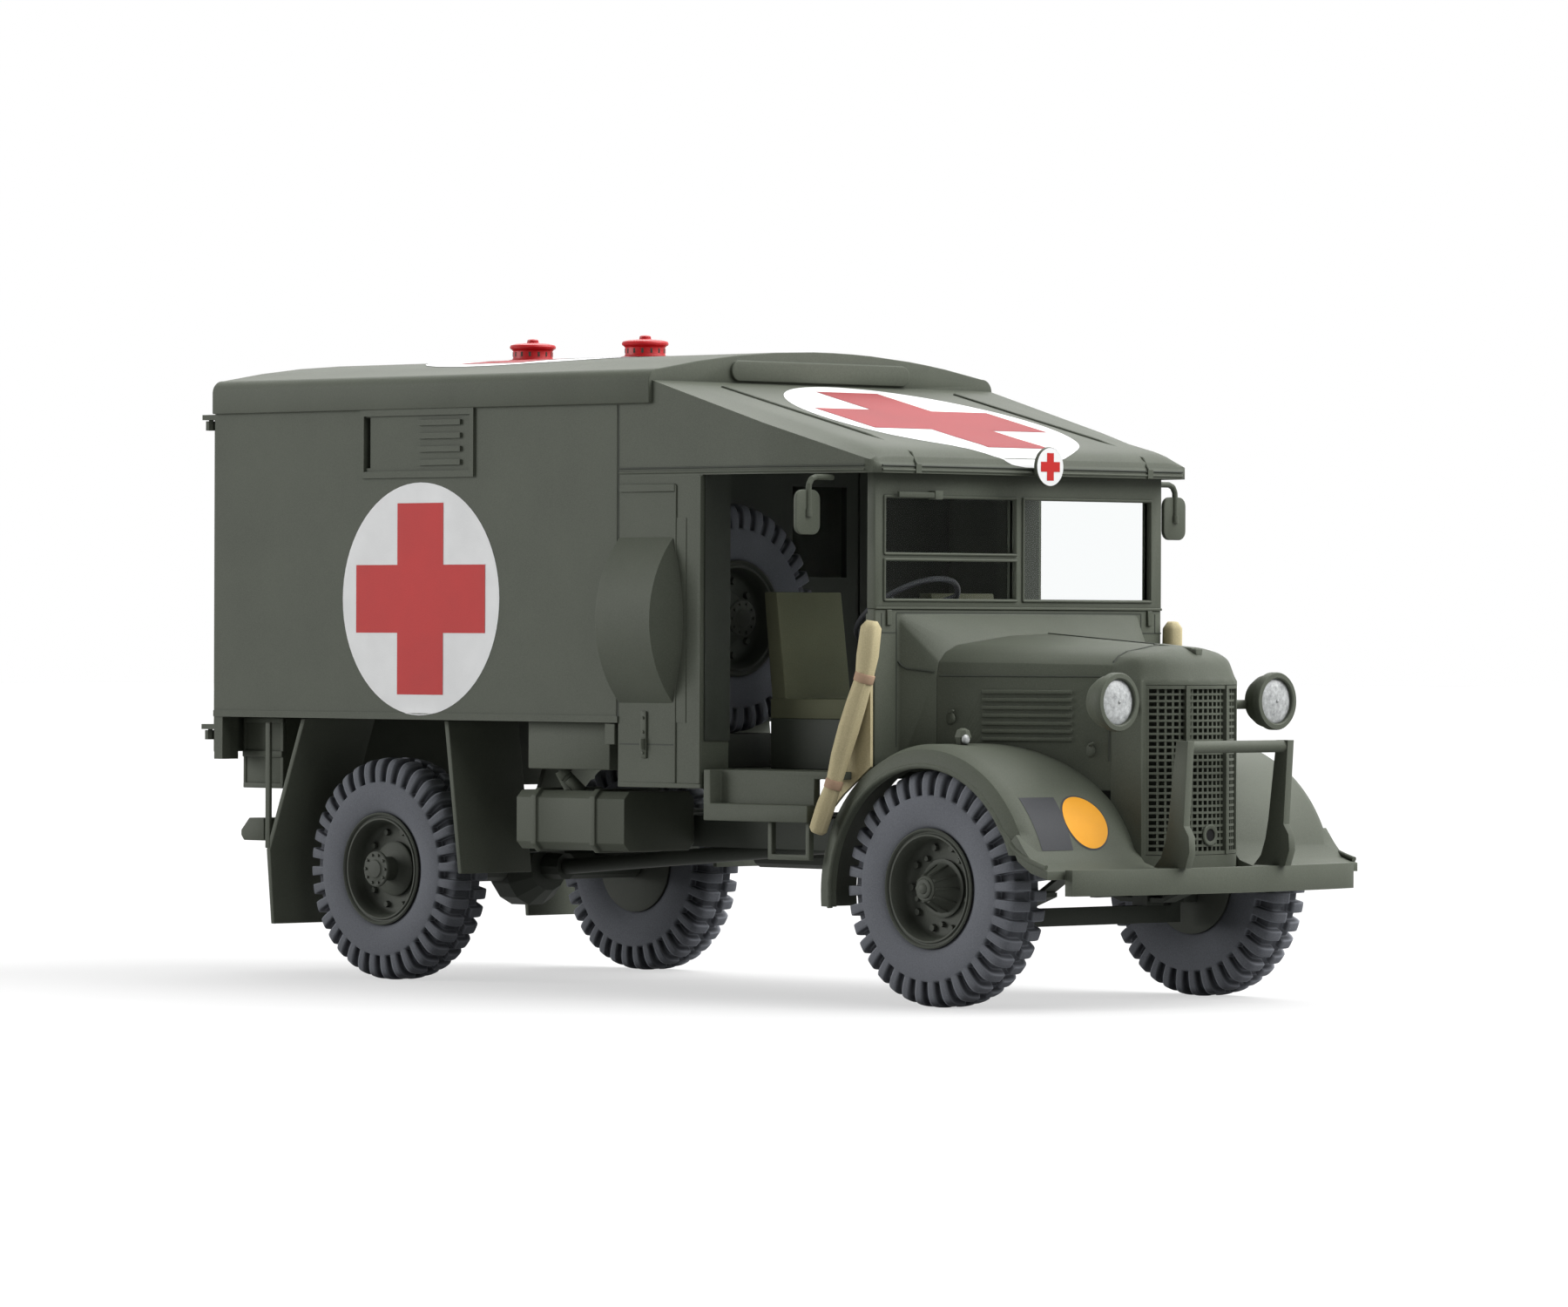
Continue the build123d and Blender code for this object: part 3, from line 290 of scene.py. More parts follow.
def discPoints(radius, count=72):
    return [(radius * math.cos(2 * math.pi * i / count), radius * math.sin(2 * math.pi * i / count))
            for i in range(count)]


def crossPoints(arm, half):
    return [(-half, -arm), (half, -arm), (half, -half), (arm, -half), (arm, half), (half, half),
            (half, arm), (-half, arm), (-half, half), (-arm, half), (-arm, -half), (-half, -half)]


# Tyres: a spun section, grooves sunk from both shoulders past the middle, softened by subdivision
tyre = {"lugs": 36, "cells": 4, "sink": 0.75, "wall": 0.05, "edgeRadius": 8.25, "crease": 0.8, "grooveEnd": -0.3}
tyreSection = (
    # radius, outward
    (4.85, 1.95), (5.35, 2.12), (5.75, 2.36), (6.6, 2.55), (7.5, 2.58), (8.05, 2.5), (8.25, 2.44), (8.45, 2.46),
    (9.35, 2.42), (10.1, 2.2), (10.46, 1.8), (10.56, 1.2), (10.58, 0.72), (10.58, 0.3), (10.58, 0.0),
)


def makeTyre(name, node, body, centre, turn):
    bm = bmesh.new()
    section = list(tyreSection) + [(radius, -outward) for radius, outward in reversed(tyreSection[:-1])]
    verts = [bm.verts.new((radius * mm, outward * mm, 0)) for radius, outward in section]
    edges = [bm.edges.new(pair) for pair in zip(verts, verts[1:])]
    steps = tyre["lugs"] * tyre["cells"]
    bmesh.ops.spin(bm, geom=verts + edges, cent=(0, 0, 0), axis=(0, 1, 0), angle=2 * math.pi, steps=steps,
                   use_merge=True)
    bmesh.ops.recalc_face_normals(bm, faces=bm.faces[:])
    pitch = 2 * math.pi / tyre["lugs"]
    grooves = []
    for face in bm.faces:
        middle = face.calc_center_median()
        radius = math.hypot(middle.x, middle.z) / mm
        cell = int((math.atan2(middle.z, middle.x) % pitch) / pitch * tyre["cells"])
        if radius < tyre["edgeRadius"]:
            continue
        outward = middle.y / mm
        if (cell in (0, 1) and outward > tyre["grooveEnd"]) or (cell in (2, 3) and outward < -tyre["grooveEnd"]):
            grooves.append(face)
    sunk = bmesh.ops.inset_region(bm, faces=grooves, thickness=tyre["wall"] * mm, depth=-tyre["sink"] * mm,
                                  use_even_offset=True, use_boundary=True)
    crease = bm.edges.layers.float.new("crease_edge")
    rim = set(edge for face in sunk["faces"] for edge in face.edges)
    for edge in rim:
        if edge.is_manifold and edge.calc_face_angle() > math.radians(35):
            edge[crease] = tyre["crease"]
    bmesh.ops.transform(bm, matrix=Matrix.Translation(centre) @ turn, verts=bm.verts[:])
    piece = makePiece(name, bm, tyrePaint, body, 180)
    rounding = piece.modifiers.new("round", "SUBSURF")
    rounding.levels = rounding.render_levels = 1
    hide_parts(node)


# Wheel discs: a spun dish with its lips, then the hub, ribs and bolts
wheelSection = (
    # radius, outward: from the lip down the dish wall to the floor
    (4.86, 1.6), (5.2, 2.1), (5.35, 2.3), (5.35, 2.42), (5.22, 2.52), (5.1, 2.45), (5.02, 2.28), (4.9, 2.26),
    (4.8, 2.4), (4.68, 2.4), (4.58, 2.25), (4.45, 1.6), (4.4, 0.9), (4.3, 0.55), (4.1, 0.4), (3.6, 0.35), (2.6, 0.35),
)
hubSections = {
    "front": ((2.62, 0.35), (2.6, 0.62), (2.42, 0.68), (2.2, 0.62), (2.1, 0.7), (1.7, 1.5), (1.3, 2.3), (1.15, 2.62),
              (1.12, 2.8), (1.0, 2.88), (0.86, 2.86), (0.84, 3.0), (0.7, 3.08), (0.5, 3.06), (0.46, 3.14), (0.3, 3.24),
              (0.0, 3.28)),
    "rear": ((2.62, 0.35), (2.6, 0.7), (2.42, 0.85), (1.5, 0.95), (1.15, 1.15), (1.1, 2.3), (1.25, 2.6), (1.62, 2.7),
             (1.7, 2.8), (1.7, 2.98), (1.6, 3.06), (0.95, 3.06), (0.85, 3.12), (0.8, 3.2), (0.35, 3.26), (0.0, 3.28)),
}


def spinSection(bm, section, steps=64):
    verts = [bm.verts.new((radius * mm, outward * mm, 0)) for radius, outward in section]
    edges = [bm.edges.new(pair) for pair in zip(verts, verts[1:])]
    bmesh.ops.spin(bm, geom=verts + edges, cent=(0, 0, 0), axis=(0, 1, 0), angle=2 * math.pi, steps=steps,
                   use_merge=True)
    bmesh.ops.remove_doubles(bm, verts=bm.verts[:], dist=0.000002)


def addBolt(bm, radius, turn, outward, size, height):
    made = bmesh.ops.create_cone(bm, cap_ends=True, segments=6, radius1=size * mm, radius2=size * 0.85 * mm,
                                 depth=height * mm)
    lift = Matrix.Translation((radius * mm * math.cos(turn), (outward + height / 2) * mm,
                               radius * mm * math.sin(turn)))
    bmesh.ops.transform(bm, matrix=lift @ Matrix.Rotation(-math.pi / 2, 4, "X"), verts=made["verts"])


def makeDisc(name, node, body, centre, turn, kind):
    bm = bmesh.new()
    back = [(4.86, 1.6), (4.86, -2.2), (4.5, -2.35), (1.0, -2.35)]
    spinSection(bm, list(reversed(back)) + list(wheelSection[1:]) + list(hubSections[kind][1:]))
    if kind == "front":
        for i in range(10):
            turnAngle = 2 * math.pi * i / 10
            rib = bmesh.ops.create_cone(bm, cap_ends=True, segments=8, radius1=0.2 * mm, radius2=0.13 * mm,
                                        depth=2.35 * mm)
            lean = Matrix.Translation((1.62 * mm, 1.62 * mm, 0)) @ Matrix.Rotation(math.radians(-90 + 26), 4, "Z")
            spinTo = Matrix.Rotation(turnAngle, 4, "Y")
            upright = Matrix.Rotation(math.pi / 2, 4, "Y")
            bmesh.ops.transform(bm, matrix=spinTo @ lean @ upright, verts=rib["verts"])
        bolts = [(3.72, i, 0.36) for i in (0.0, 0.9, 2.1, 3.0, 4.0, 4.9, 6.1, 7.0, 8.0, 9.0)]
        bolts += [(3.2, i, 0.28) for i in (1.5, 3.6, 5.5, 7.5, 9.5)]
    else:
        bolts = [(3.6, i, 0.33) for i in range(10)] + [(1.36, i, 0.16) for i in range(10)]
    for radius, place, size in bolts:
        floor = 2.98 if radius < 2 else 0.33
        addBolt(bm, radius, 2 * math.pi * place / 10, floor, size, 0.24 if radius < 2 else 0.42)
    bmesh.ops.recalc_face_normals(bm, faces=bm.faces[:])
    bmesh.ops.transform(bm, matrix=Matrix.Translation(centre) @ turn, verts=bm.verts[:])
    piece = makePiece(name, bm, wheelPaint, body, 38)
    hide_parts(node)


toRight = Matrix.Rotation(math.pi, 4, "Z")
toFront = Matrix.Rotation(-math.pi / 2, 4, "Z")
straight = Matrix.Identity(4)
corners = (
    # tyre node, disc node, body, turn, kind of disc
    ("tyre_front_right", "wheel_front_right", "front_right_wheel", toRight, "front"),
    ("tyre_front_left", "wheel_front_left", "front_left_wheel", straight, "front"),
    ("tyre_rear_right", "wheel_rear_right", "rear_right_wheel", toRight, "rear"),
    ("tyre_rear_left", "wheel_rear_left", "rear_left_wheel", straight, "rear"),
    ("spare_tyre", "spare_wheel", "vehicle", toFront, "rear"),
)
for tyreNode, discNode, body, turn, kind in corners:
    low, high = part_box(tyreNode)
    centre = (low + high) / 2
    makeTyre(tyreNode + "_tread", tyreNode, body, centre, turn)
    makeDisc(discNode + "_disc", discNode, body, centre, turn, kind)
print("tyres and discs made")


# Medical crosses on white discs
def facing(normal, up):
    z = normal.normalized()
    x = up.cross(z).normalized()
    y = z.cross(x)
    return Matrix((x, y, z)).transposed()


# A mark sliced fine and laid on a surface along its normal
def laidMark(name, points, place, turn, material, tree, lift, slicing=0.7):
    bm = bmesh.new()
    flatShape(bm, points, place, turn)
    reach = max(math.hypot(x, y) for x, y in points)
    for axis in (0, 1):
        normal = turn @ Vector((1 - axis, axis, 0))
        for step in range(-int(reach / slicing), int(reach / slicing) + 1):
            sliceAll(bm, place + normal * step * slicing * mm, normal)
    outward = turn @ Vector((0, 0, 1))
    for vert in bm.verts:
        laid = dropOnto(tree, vert.co + outward * 8 * mm, -outward, lift)
        if laid is not None:
            vert.co = laid
    return makePiece(name, bm, material)


sideUp = Vector((0, 0, 1))
ahead = Vector((1, 0, 0))
roofTree = surfaceOf("main_roof")

# The cab roof, its slope crowned a little and curled over the front edge
roofCap = {"edge": 20.2, "shoulder": 2.6, "above": 47.9}
roofRise = (
    # forward, rise
    (-32.0, 0.0), (-25.0, 0.25), (-18.6, 0.5), (-12.0, 0.75), (-8.2, 0.95), (-7.2, 0.88),
    (-6.6, 0.7), (-6.1, 0.4), (-5.8, 0.15), (-5.4, 0.0),
)
roofCuts = [x for x, rise in roofRise] + [-28.5, -22, -15.5, -10, -7.7, -6.9, -6.35, -5.95]
bm = mergedCopy("cab_roof")
for x in roofCuts:
    sliceAll(bm, at(x, 0, 0), (1, 0, 0))
for side in (-1, 1):
    for y in (8, 15, 17.5, 18.6, 19.3, 19.8):
        sliceAll(bm, at(0, side * y, 0), (0, 1, 0))
bm.normal_update()
for vert in bm.verts:
    x = (vert.co.x - axleX) / mm
    across = min(1.0, max(0.0, (roofCap["edge"] - abs(vert.co.y) / mm) / roofCap["shoulder"]))
    topmost = any(face.normal.z > 0.8 for face in vert.link_faces) and vert.co.z > at(0, 0, roofCap["above"]).z
    for (x0, rise0), (x1, rise1) in zip(roofRise, roofRise[1:]):
        if topmost and x0 <= x <= x1:
            rise = rise0 + (rise1 - rise0) * (x - x0) / (x1 - x0)
            vert.co.z += rise * math.sqrt(1 - (1 - across) ** 2) * mm
            break
bmesh.ops.recalc_face_normals(bm, faces=bm.faces[:])
piece = makePiece("cabRoofCrowned", bm, paint, smooth=48)
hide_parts("cab_roof")
crowned = bmesh.new()
crowned.from_mesh(piece.data)
cabRoofTree = BVHTree.FromBMesh(crowned)
crowned.free()
sideTrees = {-1: surfaceOf("body_side_right"), 1: surfaceOf("body_side_left")}
marks = (
    # name, place, normal, up, disc radius, surface, red
    ("rightSideMark", at(-64.0, -22.25, 35.85), Vector((0, -1, 0)), sideUp, 10.94, sideTrees[-1], markRed),
    ("leftSideMark", at(-64.0, 22.25, 35.85), Vector((0, 1, 0)), sideUp, 10.94, sideTrees[1], markRed),
    ("roofMark", at(-65.0, 0, 58.8), sideUp, ahead, 15.4, roofTree, roofRed),
    ("cabRoofMark", at(-18.7, 0, 52.5), Vector((0.245, 0, 0.97)), ahead, 13.8, cabRoofTree, roofRed),
)
crossShare = {"arm": 0.823, "half": 0.2925}
for name, place, normal, up, radius, tree, red in marks:
    turn = facing(normal, up)
    laidMark(name, discPoints(radius), place, turn, markWhite, tree, 0.03)
    laidMark(name + "Cross", crossPoints(radius * crossShare["arm"], radius * crossShare["half"]), place, turn, red,
             tree, 0.06)

# The small upright cross plate on the front eave
plate = {"place": (-3.75, 0.0, 47.9), "radius": 1.8, "thick": 0.35}
bm = bmesh.new()
addRod(bm, at(plate["place"][0] - plate["thick"], 0, plate["place"][2]), at(*plate["place"]), plate["radius"], 48)
addBlock(bm, (-5.7, plate["place"][0] - 0.2), (-0.35, 0.35), (47.2, 47.8))
bevelSharp(bm, 0.08)
makePiece("eavePlate", bm, paint)
turn = facing(Vector((1, 0, 0)), sideUp)
bm = bmesh.new()
flatShape(bm, discPoints(plate["radius"] - 0.08), at(plate["place"][0] + 0.02, 0, plate["place"][2]), turn)
makePiece("eaveMark", bm, markWhite)
bm = bmesh.new()
flatShape(bm, crossPoints(1.25, 0.45), at(plate["place"][0] + 0.04, 0, plate["place"][2]), turn)
makePiece("eaveMarkCross", bm, markRed)
print("crosses made")

# Wing marks: a blank yellow disc with a dark rim and a blank dark square
wingTree = surfaceOf("wing_right")
wingMark = {"place": (11.55, -11.7, 16.2), "radius": 2.75, "rim": 0.16}
outward = Vector((11.55, 0, 6.6)).normalized()
turn = facing(outward, Vector((-0.5, 0, 0.866)))
laidMark("yellowRim", discPoints(wingMark["radius"]), at(*wingMark["place"]), turn, markDark, wingTree, 0.03, 0.5)
laidMark("yellowMark", discPoints(wingMark["radius"] - wingMark["rim"]), at(*wingMark["place"]), turn, markYellow,
         wingTree, 0.06, 0.5)
outward = Vector((11.5, 0, 6.9)).normalized()
turn = facing(outward, Vector((-0.5, 0, 0.866)))
square = [(2.2, 2.6), (-2.25, 2.6), (-2.05, -2.7), (1.9, -2.7)]
laidMark("darkSign", [(-x, y) for x, y in square], at(11.5, -16.45, 16.2), turn, markDark, wingTree, 0.03, 0.5)
print("wing marks made")

# Softened copies of the plain nodes
softNodes = (
    # node, bevel width, slot
    ("bonnet", 0.08, "green_plastic"),
    ("scuttle", 0.15, "green_plastic"),
    ("wing_right", 0.14, "green_plastic"),
    ("wing_left", 0.14, "green_plastic"),
    ("front_bumper", 0.14, "green_plastic"),
    ("brush_guard", 0.14, "green_plastic"),
    ("fuel_tank", 0.3, "green_plastic"),
    ("underbody_lockers", 0.12, "green_plastic"),
    ("mudflaps", 0.08, "green_plastic"),
    ("seats", 0.3, "seat_plastic"),
    ("seat_boxes", 0.1, "green_plastic"),
    ("windscreen_frame", 0.08, "green_plastic"),
    ("cab_floor", 0.1, "green_plastic"),
    ("stirrup_steps", 0.08, "green_plastic"),
    ("main_roof", 0.1, "green_plastic"),
    ("front_axle", 0.12, "chassis_plastic"),
    ("chassis_frame", 0.1, "chassis_plastic"),
)
for node, width, slot in softNodes:
    bm = mergedCopy(node)
    bevelSharp(bm, width)
    bmesh.ops.recalc_face_normals(bm, faces=bm.faces[:])
    piece = makePiece(node + "_soft", bm, nodes[node].data.materials[0])
    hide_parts(node)

# The nose, its top sliced fine and smoothed round
nose = {"cap": 28.6, "freeAbove": 28.7, "freeAhead": 10.5, "passes": 26}
bm = mergedCopy("nose_shell")
slices = [(at(0, 0, 28.75 + 0.35 * step), (0, 0, 1)) for step in range(14)]
slices += [(at(0, -7.2 + 0.45 * step, 0), (0, 1, 0)) for step in range(33)]
slices += [(at(10.75 + 0.4 * step, 0, 0), (1, 0, 0)) for step in range(14)]
for place, normal in slices:
    cap = [face for face in bm.faces if face.calc_center_median().z > at(0, 0, nose["cap"]).z]
    capVerts = set(vert for face in cap for vert in face.verts)
    capEdges = set(edge for face in cap for edge in face.edges)
    bmesh.ops.bisect_plane(bm, geom=list(capVerts) + list(capEdges) + cap, plane_co=place, plane_no=normal)
free = [vert for vert in bm.verts
        if vert.co.z > at(0, 0, nose["freeAbove"]).z and vert.co.x > at(nose["freeAhead"], 0, 0).x]
for smoothing in range(nose["passes"]):
    bmesh.ops.smooth_vert(bm, verts=free, factor=0.5, use_axis_x=True, use_axis_y=True, use_axis_z=True)
bmesh.ops.recalc_face_normals(bm, faces=bm.faces[:])
piece = makePiece("noseRounded", bm, paint, smooth=45)
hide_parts("nose_shell")
print("soft copies made")

# Lamps, mirrors and ventilators, turned or bent anew
lamp = {"front": 14.6, "side": 10.45, "height": 26.8, "glint": (1.62, 16.5, 23.4)}
bowlSection = ((0.0, -3.1), (0.55, -3.08), (1.25, -2.85), (1.85, -2.35), (2.3, -1.6), (2.45, -1.0), (2.5, -0.75),
               (2.6, -0.7), (2.6, -0.12), (2.52, 0.0), (2.14, 0.02), (2.04, -0.06), (2.0, -0.45))
lensSection = ((2.04, -0.42), (2.0, -0.34), (1.6, -0.22), (1.0, -0.12), (0.5, -0.06), (0.0, -0.04))


def turnSection(bm, section, place, axis, steps=48):
    verts = [bm.verts.new((radius * mm, 0, along * mm)) for radius, along in section]
    edges = [bm.edges.new(pair) for pair in zip(verts, verts[1:])]
    bmesh.ops.spin(bm, geom=verts + edges, cent=(0, 0, 0), axis=(0, 0, 1), angle=2 * math.pi, steps=steps,
                   use_merge=True)
    bmesh.ops.remove_doubles(bm, verts=bm.verts[:], dist=0.000001)
    turn = axis.to_track_quat("Z", "Y").to_matrix().to_4x4()
    bmesh.ops.transform(bm, matrix=Matrix.Translation(place) @ turn, verts=bm.verts[:])
    bmesh.ops.recalc_face_normals(bm, faces=bm.faces[:])


def joinInto(bm, other):
    mesh = bpy.data.meshes.new("part")
    other.to_mesh(mesh)
    other.free()
    bm.from_mesh(mesh)
    bpy.data.meshes.remove(mesh)


bowls = bmesh.new()
lenses = bmesh.new()
for side in (-1, 1):
    place = at(lamp["front"], side * lamp["side"], lamp["height"])
    bowl = bmesh.new()
    turnSection(bowl, bowlSection, place, ahead)
    joinInto(bowls, bowl)
    addRod(bowls, at(12.4, side * 6.6, 26.5), at(12.4, side * 9.4, 26.5), 0.42, 12)
    lens = bmesh.new()
    turnSection(lens, lensSection, place, ahead)
    joinInto(lenses, lens)
    knob = bmesh.ops.create_icosphere(lenses, subdivisions=2, radius=0.17 * mm)
    bmesh.ops.translate(lenses, vec=place + Vector((-0.05 * mm, 0, 0)), verts=knob["verts"])
for side in (-1, 1):
    glint = bmesh.ops.create_icosphere(lenses, subdivisions=2, radius=0.46 * mm)
    bmesh.ops.scale(lenses, vec=(0.55, 1, 1), verts=glint["verts"])
    x, y, z = lamp["glint"]
    bmesh.ops.translate(lenses, vec=at(x, side * y, z), verts=glint["verts"])
piece = makePiece("lampBowls", bowls, paint, smooth=35)
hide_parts("headlamps")
piece = makePiece("lampGlasses", lenses, silver, smooth=35)
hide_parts("headlamp_lenses")

mirror = {"x": -10.7, "y": 24.2, "low": 41.55, "high": 45.55, "half": 1.5, "halfThick": 0.21, "arm": 0.27,
          "corner": 0.85}
bm = bmesh.new()
addBlock(bm, (mirror["x"] - mirror["halfThick"], mirror["x"] + mirror["halfThick"]),
         (-mirror["y"] - mirror["half"], -mirror["y"] + mirror["half"]), (mirror["low"], mirror["high"]))
edges = [edge for edge in bm.edges if abs((edge.verts[0].co - edge.verts[1].co).x) > 0.1 * mm]
bmesh.ops.bevel(bm, geom=edges, offset=mirror["corner"] * mm, offset_type="OFFSET", affect="EDGES", segments=5,
                profile=0.5, material=-1, clamp_overlap=True)
bevelSharp(bm, 0.1, 60)
armX = mirror["x"] + 0.2
addBead(bm, [at(armX, -21.2, 46.7), at(armX, -23.3, 46.7), at(armX, -23.85, 46.5), at(armX, -24.15, 46.0),
             at(armX, -24.2, 45.3), at(armX, -24.2, 43.5)], mirror["arm"], 10)
addRod(bm, at(armX, -24.2, 43.18), at(armX, -24.2, 43.82), 0.36, 12)
addMirror(bm)
piece = makePiece("mirrorPair", bm, paint, smooth=35)
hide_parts("mirrors")

vent = {"stations": (-72.5, -56.8), "slots": 14}
ventSection = ((2.35, -0.2), (2.38, 0.12), (2.3, 0.28), (2.0, 0.34), (1.92, 0.5), (1.92, 1.15), (2.05, 1.3),
               (2.2, 1.38), (2.24, 1.55), (2.14, 1.72), (1.6, 1.86), (0.62, 1.94), (0.56, 2.0), (0.54, 2.2),
               (0.4, 2.3), (0.0, 2.34))
bm = bmesh.new()
darkShade = bmesh.new()
for station in vent["stations"]:
    place = at(station, 0, 58.75)
    single = bmesh.new()
    turnSection(single, ventSection, place, sideUp)
    joinInto(bm, single)
    for slotIndex in range(vent["slots"]):
        turnBy = 2 * math.pi * slotIndex / vent["slots"]
        out = Vector((math.cos(turnBy), math.sin(turnBy), 0))
        foot = place + (out * 1.75 + sideUp * 0.62) * mm
        addRod(darkShade, foot, foot + sideUp * 0.43 * mm, 0.21, 8)
piece = makePiece("ventilatorCaps", bm, redPaint, smooth=35)
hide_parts("ventilators")
# Painted shade: dark rods stand in for the shade inside the ventilator's slots
makePiece("ventilatorSlotShade", darkShade, grooveShadePaint)
print("lamps, mirrors and ventilators made")

# Steering wheel
steer = {"centre": at(-14.2, -7.8, 34.8), "axis": Vector((-0.58, 0, 0.815)), "grip": 0.27}
wheelLow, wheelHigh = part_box("steering_wheel")
steer["radius"] = (wheelHigh.y - wheelLow.y) / 2 / mm - steer["grip"]
bm = bmesh.new()
ring = bmesh.ops.create_circle(bm, segments=10, radius=steer["grip"] * mm)
bmesh.ops.rotate(bm, cent=(0, 0, 0), matrix=Matrix.Rotation(math.pi / 2, 3, "X"), verts=ring["verts"])
bmesh.ops.translate(bm, vec=(steer["radius"] * mm, 0, 0), verts=ring["verts"])
bmesh.ops.spin(bm, geom=bm.verts[:] + bm.edges[:], cent=(0, 0, 0), axis=(0, 0, 1), angle=2 * math.pi, steps=56,
               use_merge=True)
for spoke in range(3):
    out = Vector((math.cos(2.094 * spoke + 0.5), math.sin(2.094 * spoke + 0.5), 0)) * steer["radius"] * mm
    addRod(bm, Vector((0, 0, -0.2 * mm)), out, 0.16, 8)
addRod(bm, Vector((0, 0, -0.5 * mm)), Vector((0, 0, 0.25 * mm)), 0.7, 16, 0.5)
addRod(bm, Vector((0, 0, -9.4 * mm)), Vector((0, 0, -0.4 * mm)), 0.38, 12)
turn = steer["axis"].to_track_quat("Z", "Y").to_matrix().to_4x4()
bmesh.ops.transform(bm, matrix=Matrix.Translation(steer["centre"]) @ turn, verts=bm.verts[:])
piece = makePiece("steeringRing", bm, markDark)
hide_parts("steering_wheel")

# Rolled canvas curtains: a tapering roll, two straps and the flat of the sheet behind
canvas = {
    # forward, out, up, radius
    "roll": ((-6.78, 19.85, 33.9, 0.5), (-6.85, 19.9, 33.3, 0.92), (-7.08, 20.1, 30.8, 0.95), (-7.3, 20.3, 28.8, 0.8),
             (-7.98, 20.6, 26.5, 0.92), (-8.65, 20.9, 24.2, 0.96), (-9.33, 21.2, 21.8, 0.86), (-9.9, 21.5, 19.3, 0.68),
             (-10.58, 21.8, 17.35, 0.8), (-11.3, 22.05, 15.2, 0.76), (-11.4, 22.1, 14.9, 0.5)),
    "straps": ((-7.3, 20.3, 28.8, 0.86), (-9.9, 21.5, 19.3, 0.76)),
}
rolls = bmesh.new()
straps = bmesh.new()
for side in (-1, 1):
    stations = canvas["roll"]
    rings = []
    for index, (x, y, z, radius) in enumerate(stations):
        before = stations[max(index - 1, 0)]
        after = stations[min(index + 1, len(stations) - 1)]
        run = at(after[0], side * after[1], after[2]) - at(before[0], side * before[1], before[2])
        ring = bmesh.ops.create_circle(rolls, segments=18, radius=radius * mm)
        turn = run.to_track_quat("Z", "Y").to_matrix().to_4x4()
        bmesh.ops.transform(rolls, matrix=Matrix.Translation(at(x, side * y, z)) @ turn, verts=ring["verts"])
        for number, vert in enumerate(ring["verts"]):  # uneven folds round the roll
            middle = at(x, side * y, z)
            vert.co = middle + (vert.co - middle) * (1 + 0.07 * math.sin(number * 2.1 + index * 0.4))
        rings.append(ring["verts"])
    for ring, following in zip(rings, rings[1:]):
        edges = [edge for edge in rolls.edges
                 if (edge.verts[0] in ring and edge.verts[1] in ring)
                 or (edge.verts[0] in following and edge.verts[1] in following)]
        bmesh.ops.bridge_loops(rolls, edges=edges)
    for ring in (rings[0], rings[-1]):
        bmesh.ops.contextual_create(rolls, geom=ring)
    for x, y, z, radius in canvas["straps"]:
        run = (at(-9.9, side * 21.5, 19.3) - at(-7.3, side * 20.3, 28.8)).normalized()
        addRod(straps, at(x, side * y, z) - run * 0.42 * mm, at(x, side * y, z) + run * 0.42 * mm, radius + 0.06, 18)
bmesh.ops.recalc_face_normals(rolls, faces=rolls.faces[:])
bevelSharp(straps, 0.08)
piece = makePiece("canvasRolls", rolls, canvasPaint, smooth=60)
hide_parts("canvas_curtains")
makePiece("canvasStraps", straps, strapPaint)
bm = bmesh.new()
flatOutline = ((-6.95, 28.4), (-6.92, 20.9), (-8.65, 19.6), (-10.3, 18.4), (-11.6, 17.2), (-11.8, 19.3), (-10.9, 21.8),
               (-9.9, 24.2), (-7.9, 28.4))
verts = [bm.verts.new(at(x, -19.55, z)) for x, z in flatOutline]
made = bmesh.ops.extrude_face_region(bm, geom=[bm.faces.new(verts)])
pushed = [item for item in made["geom"] if isinstance(item, bmesh.types.BMVert)]
bmesh.ops.translate(bm, vec=(0, -0.3 * mm, 0), verts=pushed)
addMirror(bm)
bmesh.ops.recalc_face_normals(bm, faces=bm.faces[:])
makePiece("canvasFlats", bm, canvasPaint)
print("curtains made")

# Seams, lips and small fittings of the body
ribs = bmesh.new()
grooves = bmesh.new()
sideY = -22.25
sideRibs = (
    # from, to, proud, sunk, low, high
    (-93.5, -37.1, 0.14, 0.05, 24.5, 25.0),  # lip under the side
    (-38.7, -37.4, 0.1, 0.8, 22.5, 24.4),
    (-36.95, -26.1, 0.12, 0.05, 18.65, 19.1),
    (-26.5, -26.05, 0.24, 0.05, 19.1, 47.0),
    (-37.3, -37.14, 0.1, 0.05, 25.0, 53.6),
    (-29.6, -29.35, 0.14, 0.05, 19.1, 46.2),
    (-36.8, -29.5, 0.2, 0.05, 45.6, 46.3),
)
sideGrooves = (
    (-37.12, -36.98, 0.03, 0.05, 25.0, 53.6),
    (-36.8, -29.6, 0.02, 0.05, 22.5, 22.64),
)
for bm, table in ((ribs, sideRibs), (grooves, sideGrooves)):
    for start, end, proud, sunk, low, high in table:
        addBlock(bm, (start, end), (sideY - proud, sideY + sunk), (low, high))
eave = [at(-36.9, -22.27, 47.75), at(-18.0, -22.27, 47.75), at(-6.75, -20.95, 47.75)]
addBead(grooves, eave, 0.09)
addBead(ribs, [point - Vector((0, 0.02 * mm, 0.38 * mm)) for point in eave], 0.12)
bevelSharp(ribs, 0.05, 60, 1)
addMirror(ribs)
addMirror(grooves)
frontEave = [at(-5.58, -19.8, 47.75), at(-5.58, 19.8, 47.75)]
addBead(grooves, frontEave, 0.09)
addBead(ribs, [point - Vector((0, 0, 0.38 * mm)) for point in frontEave], 0.12)

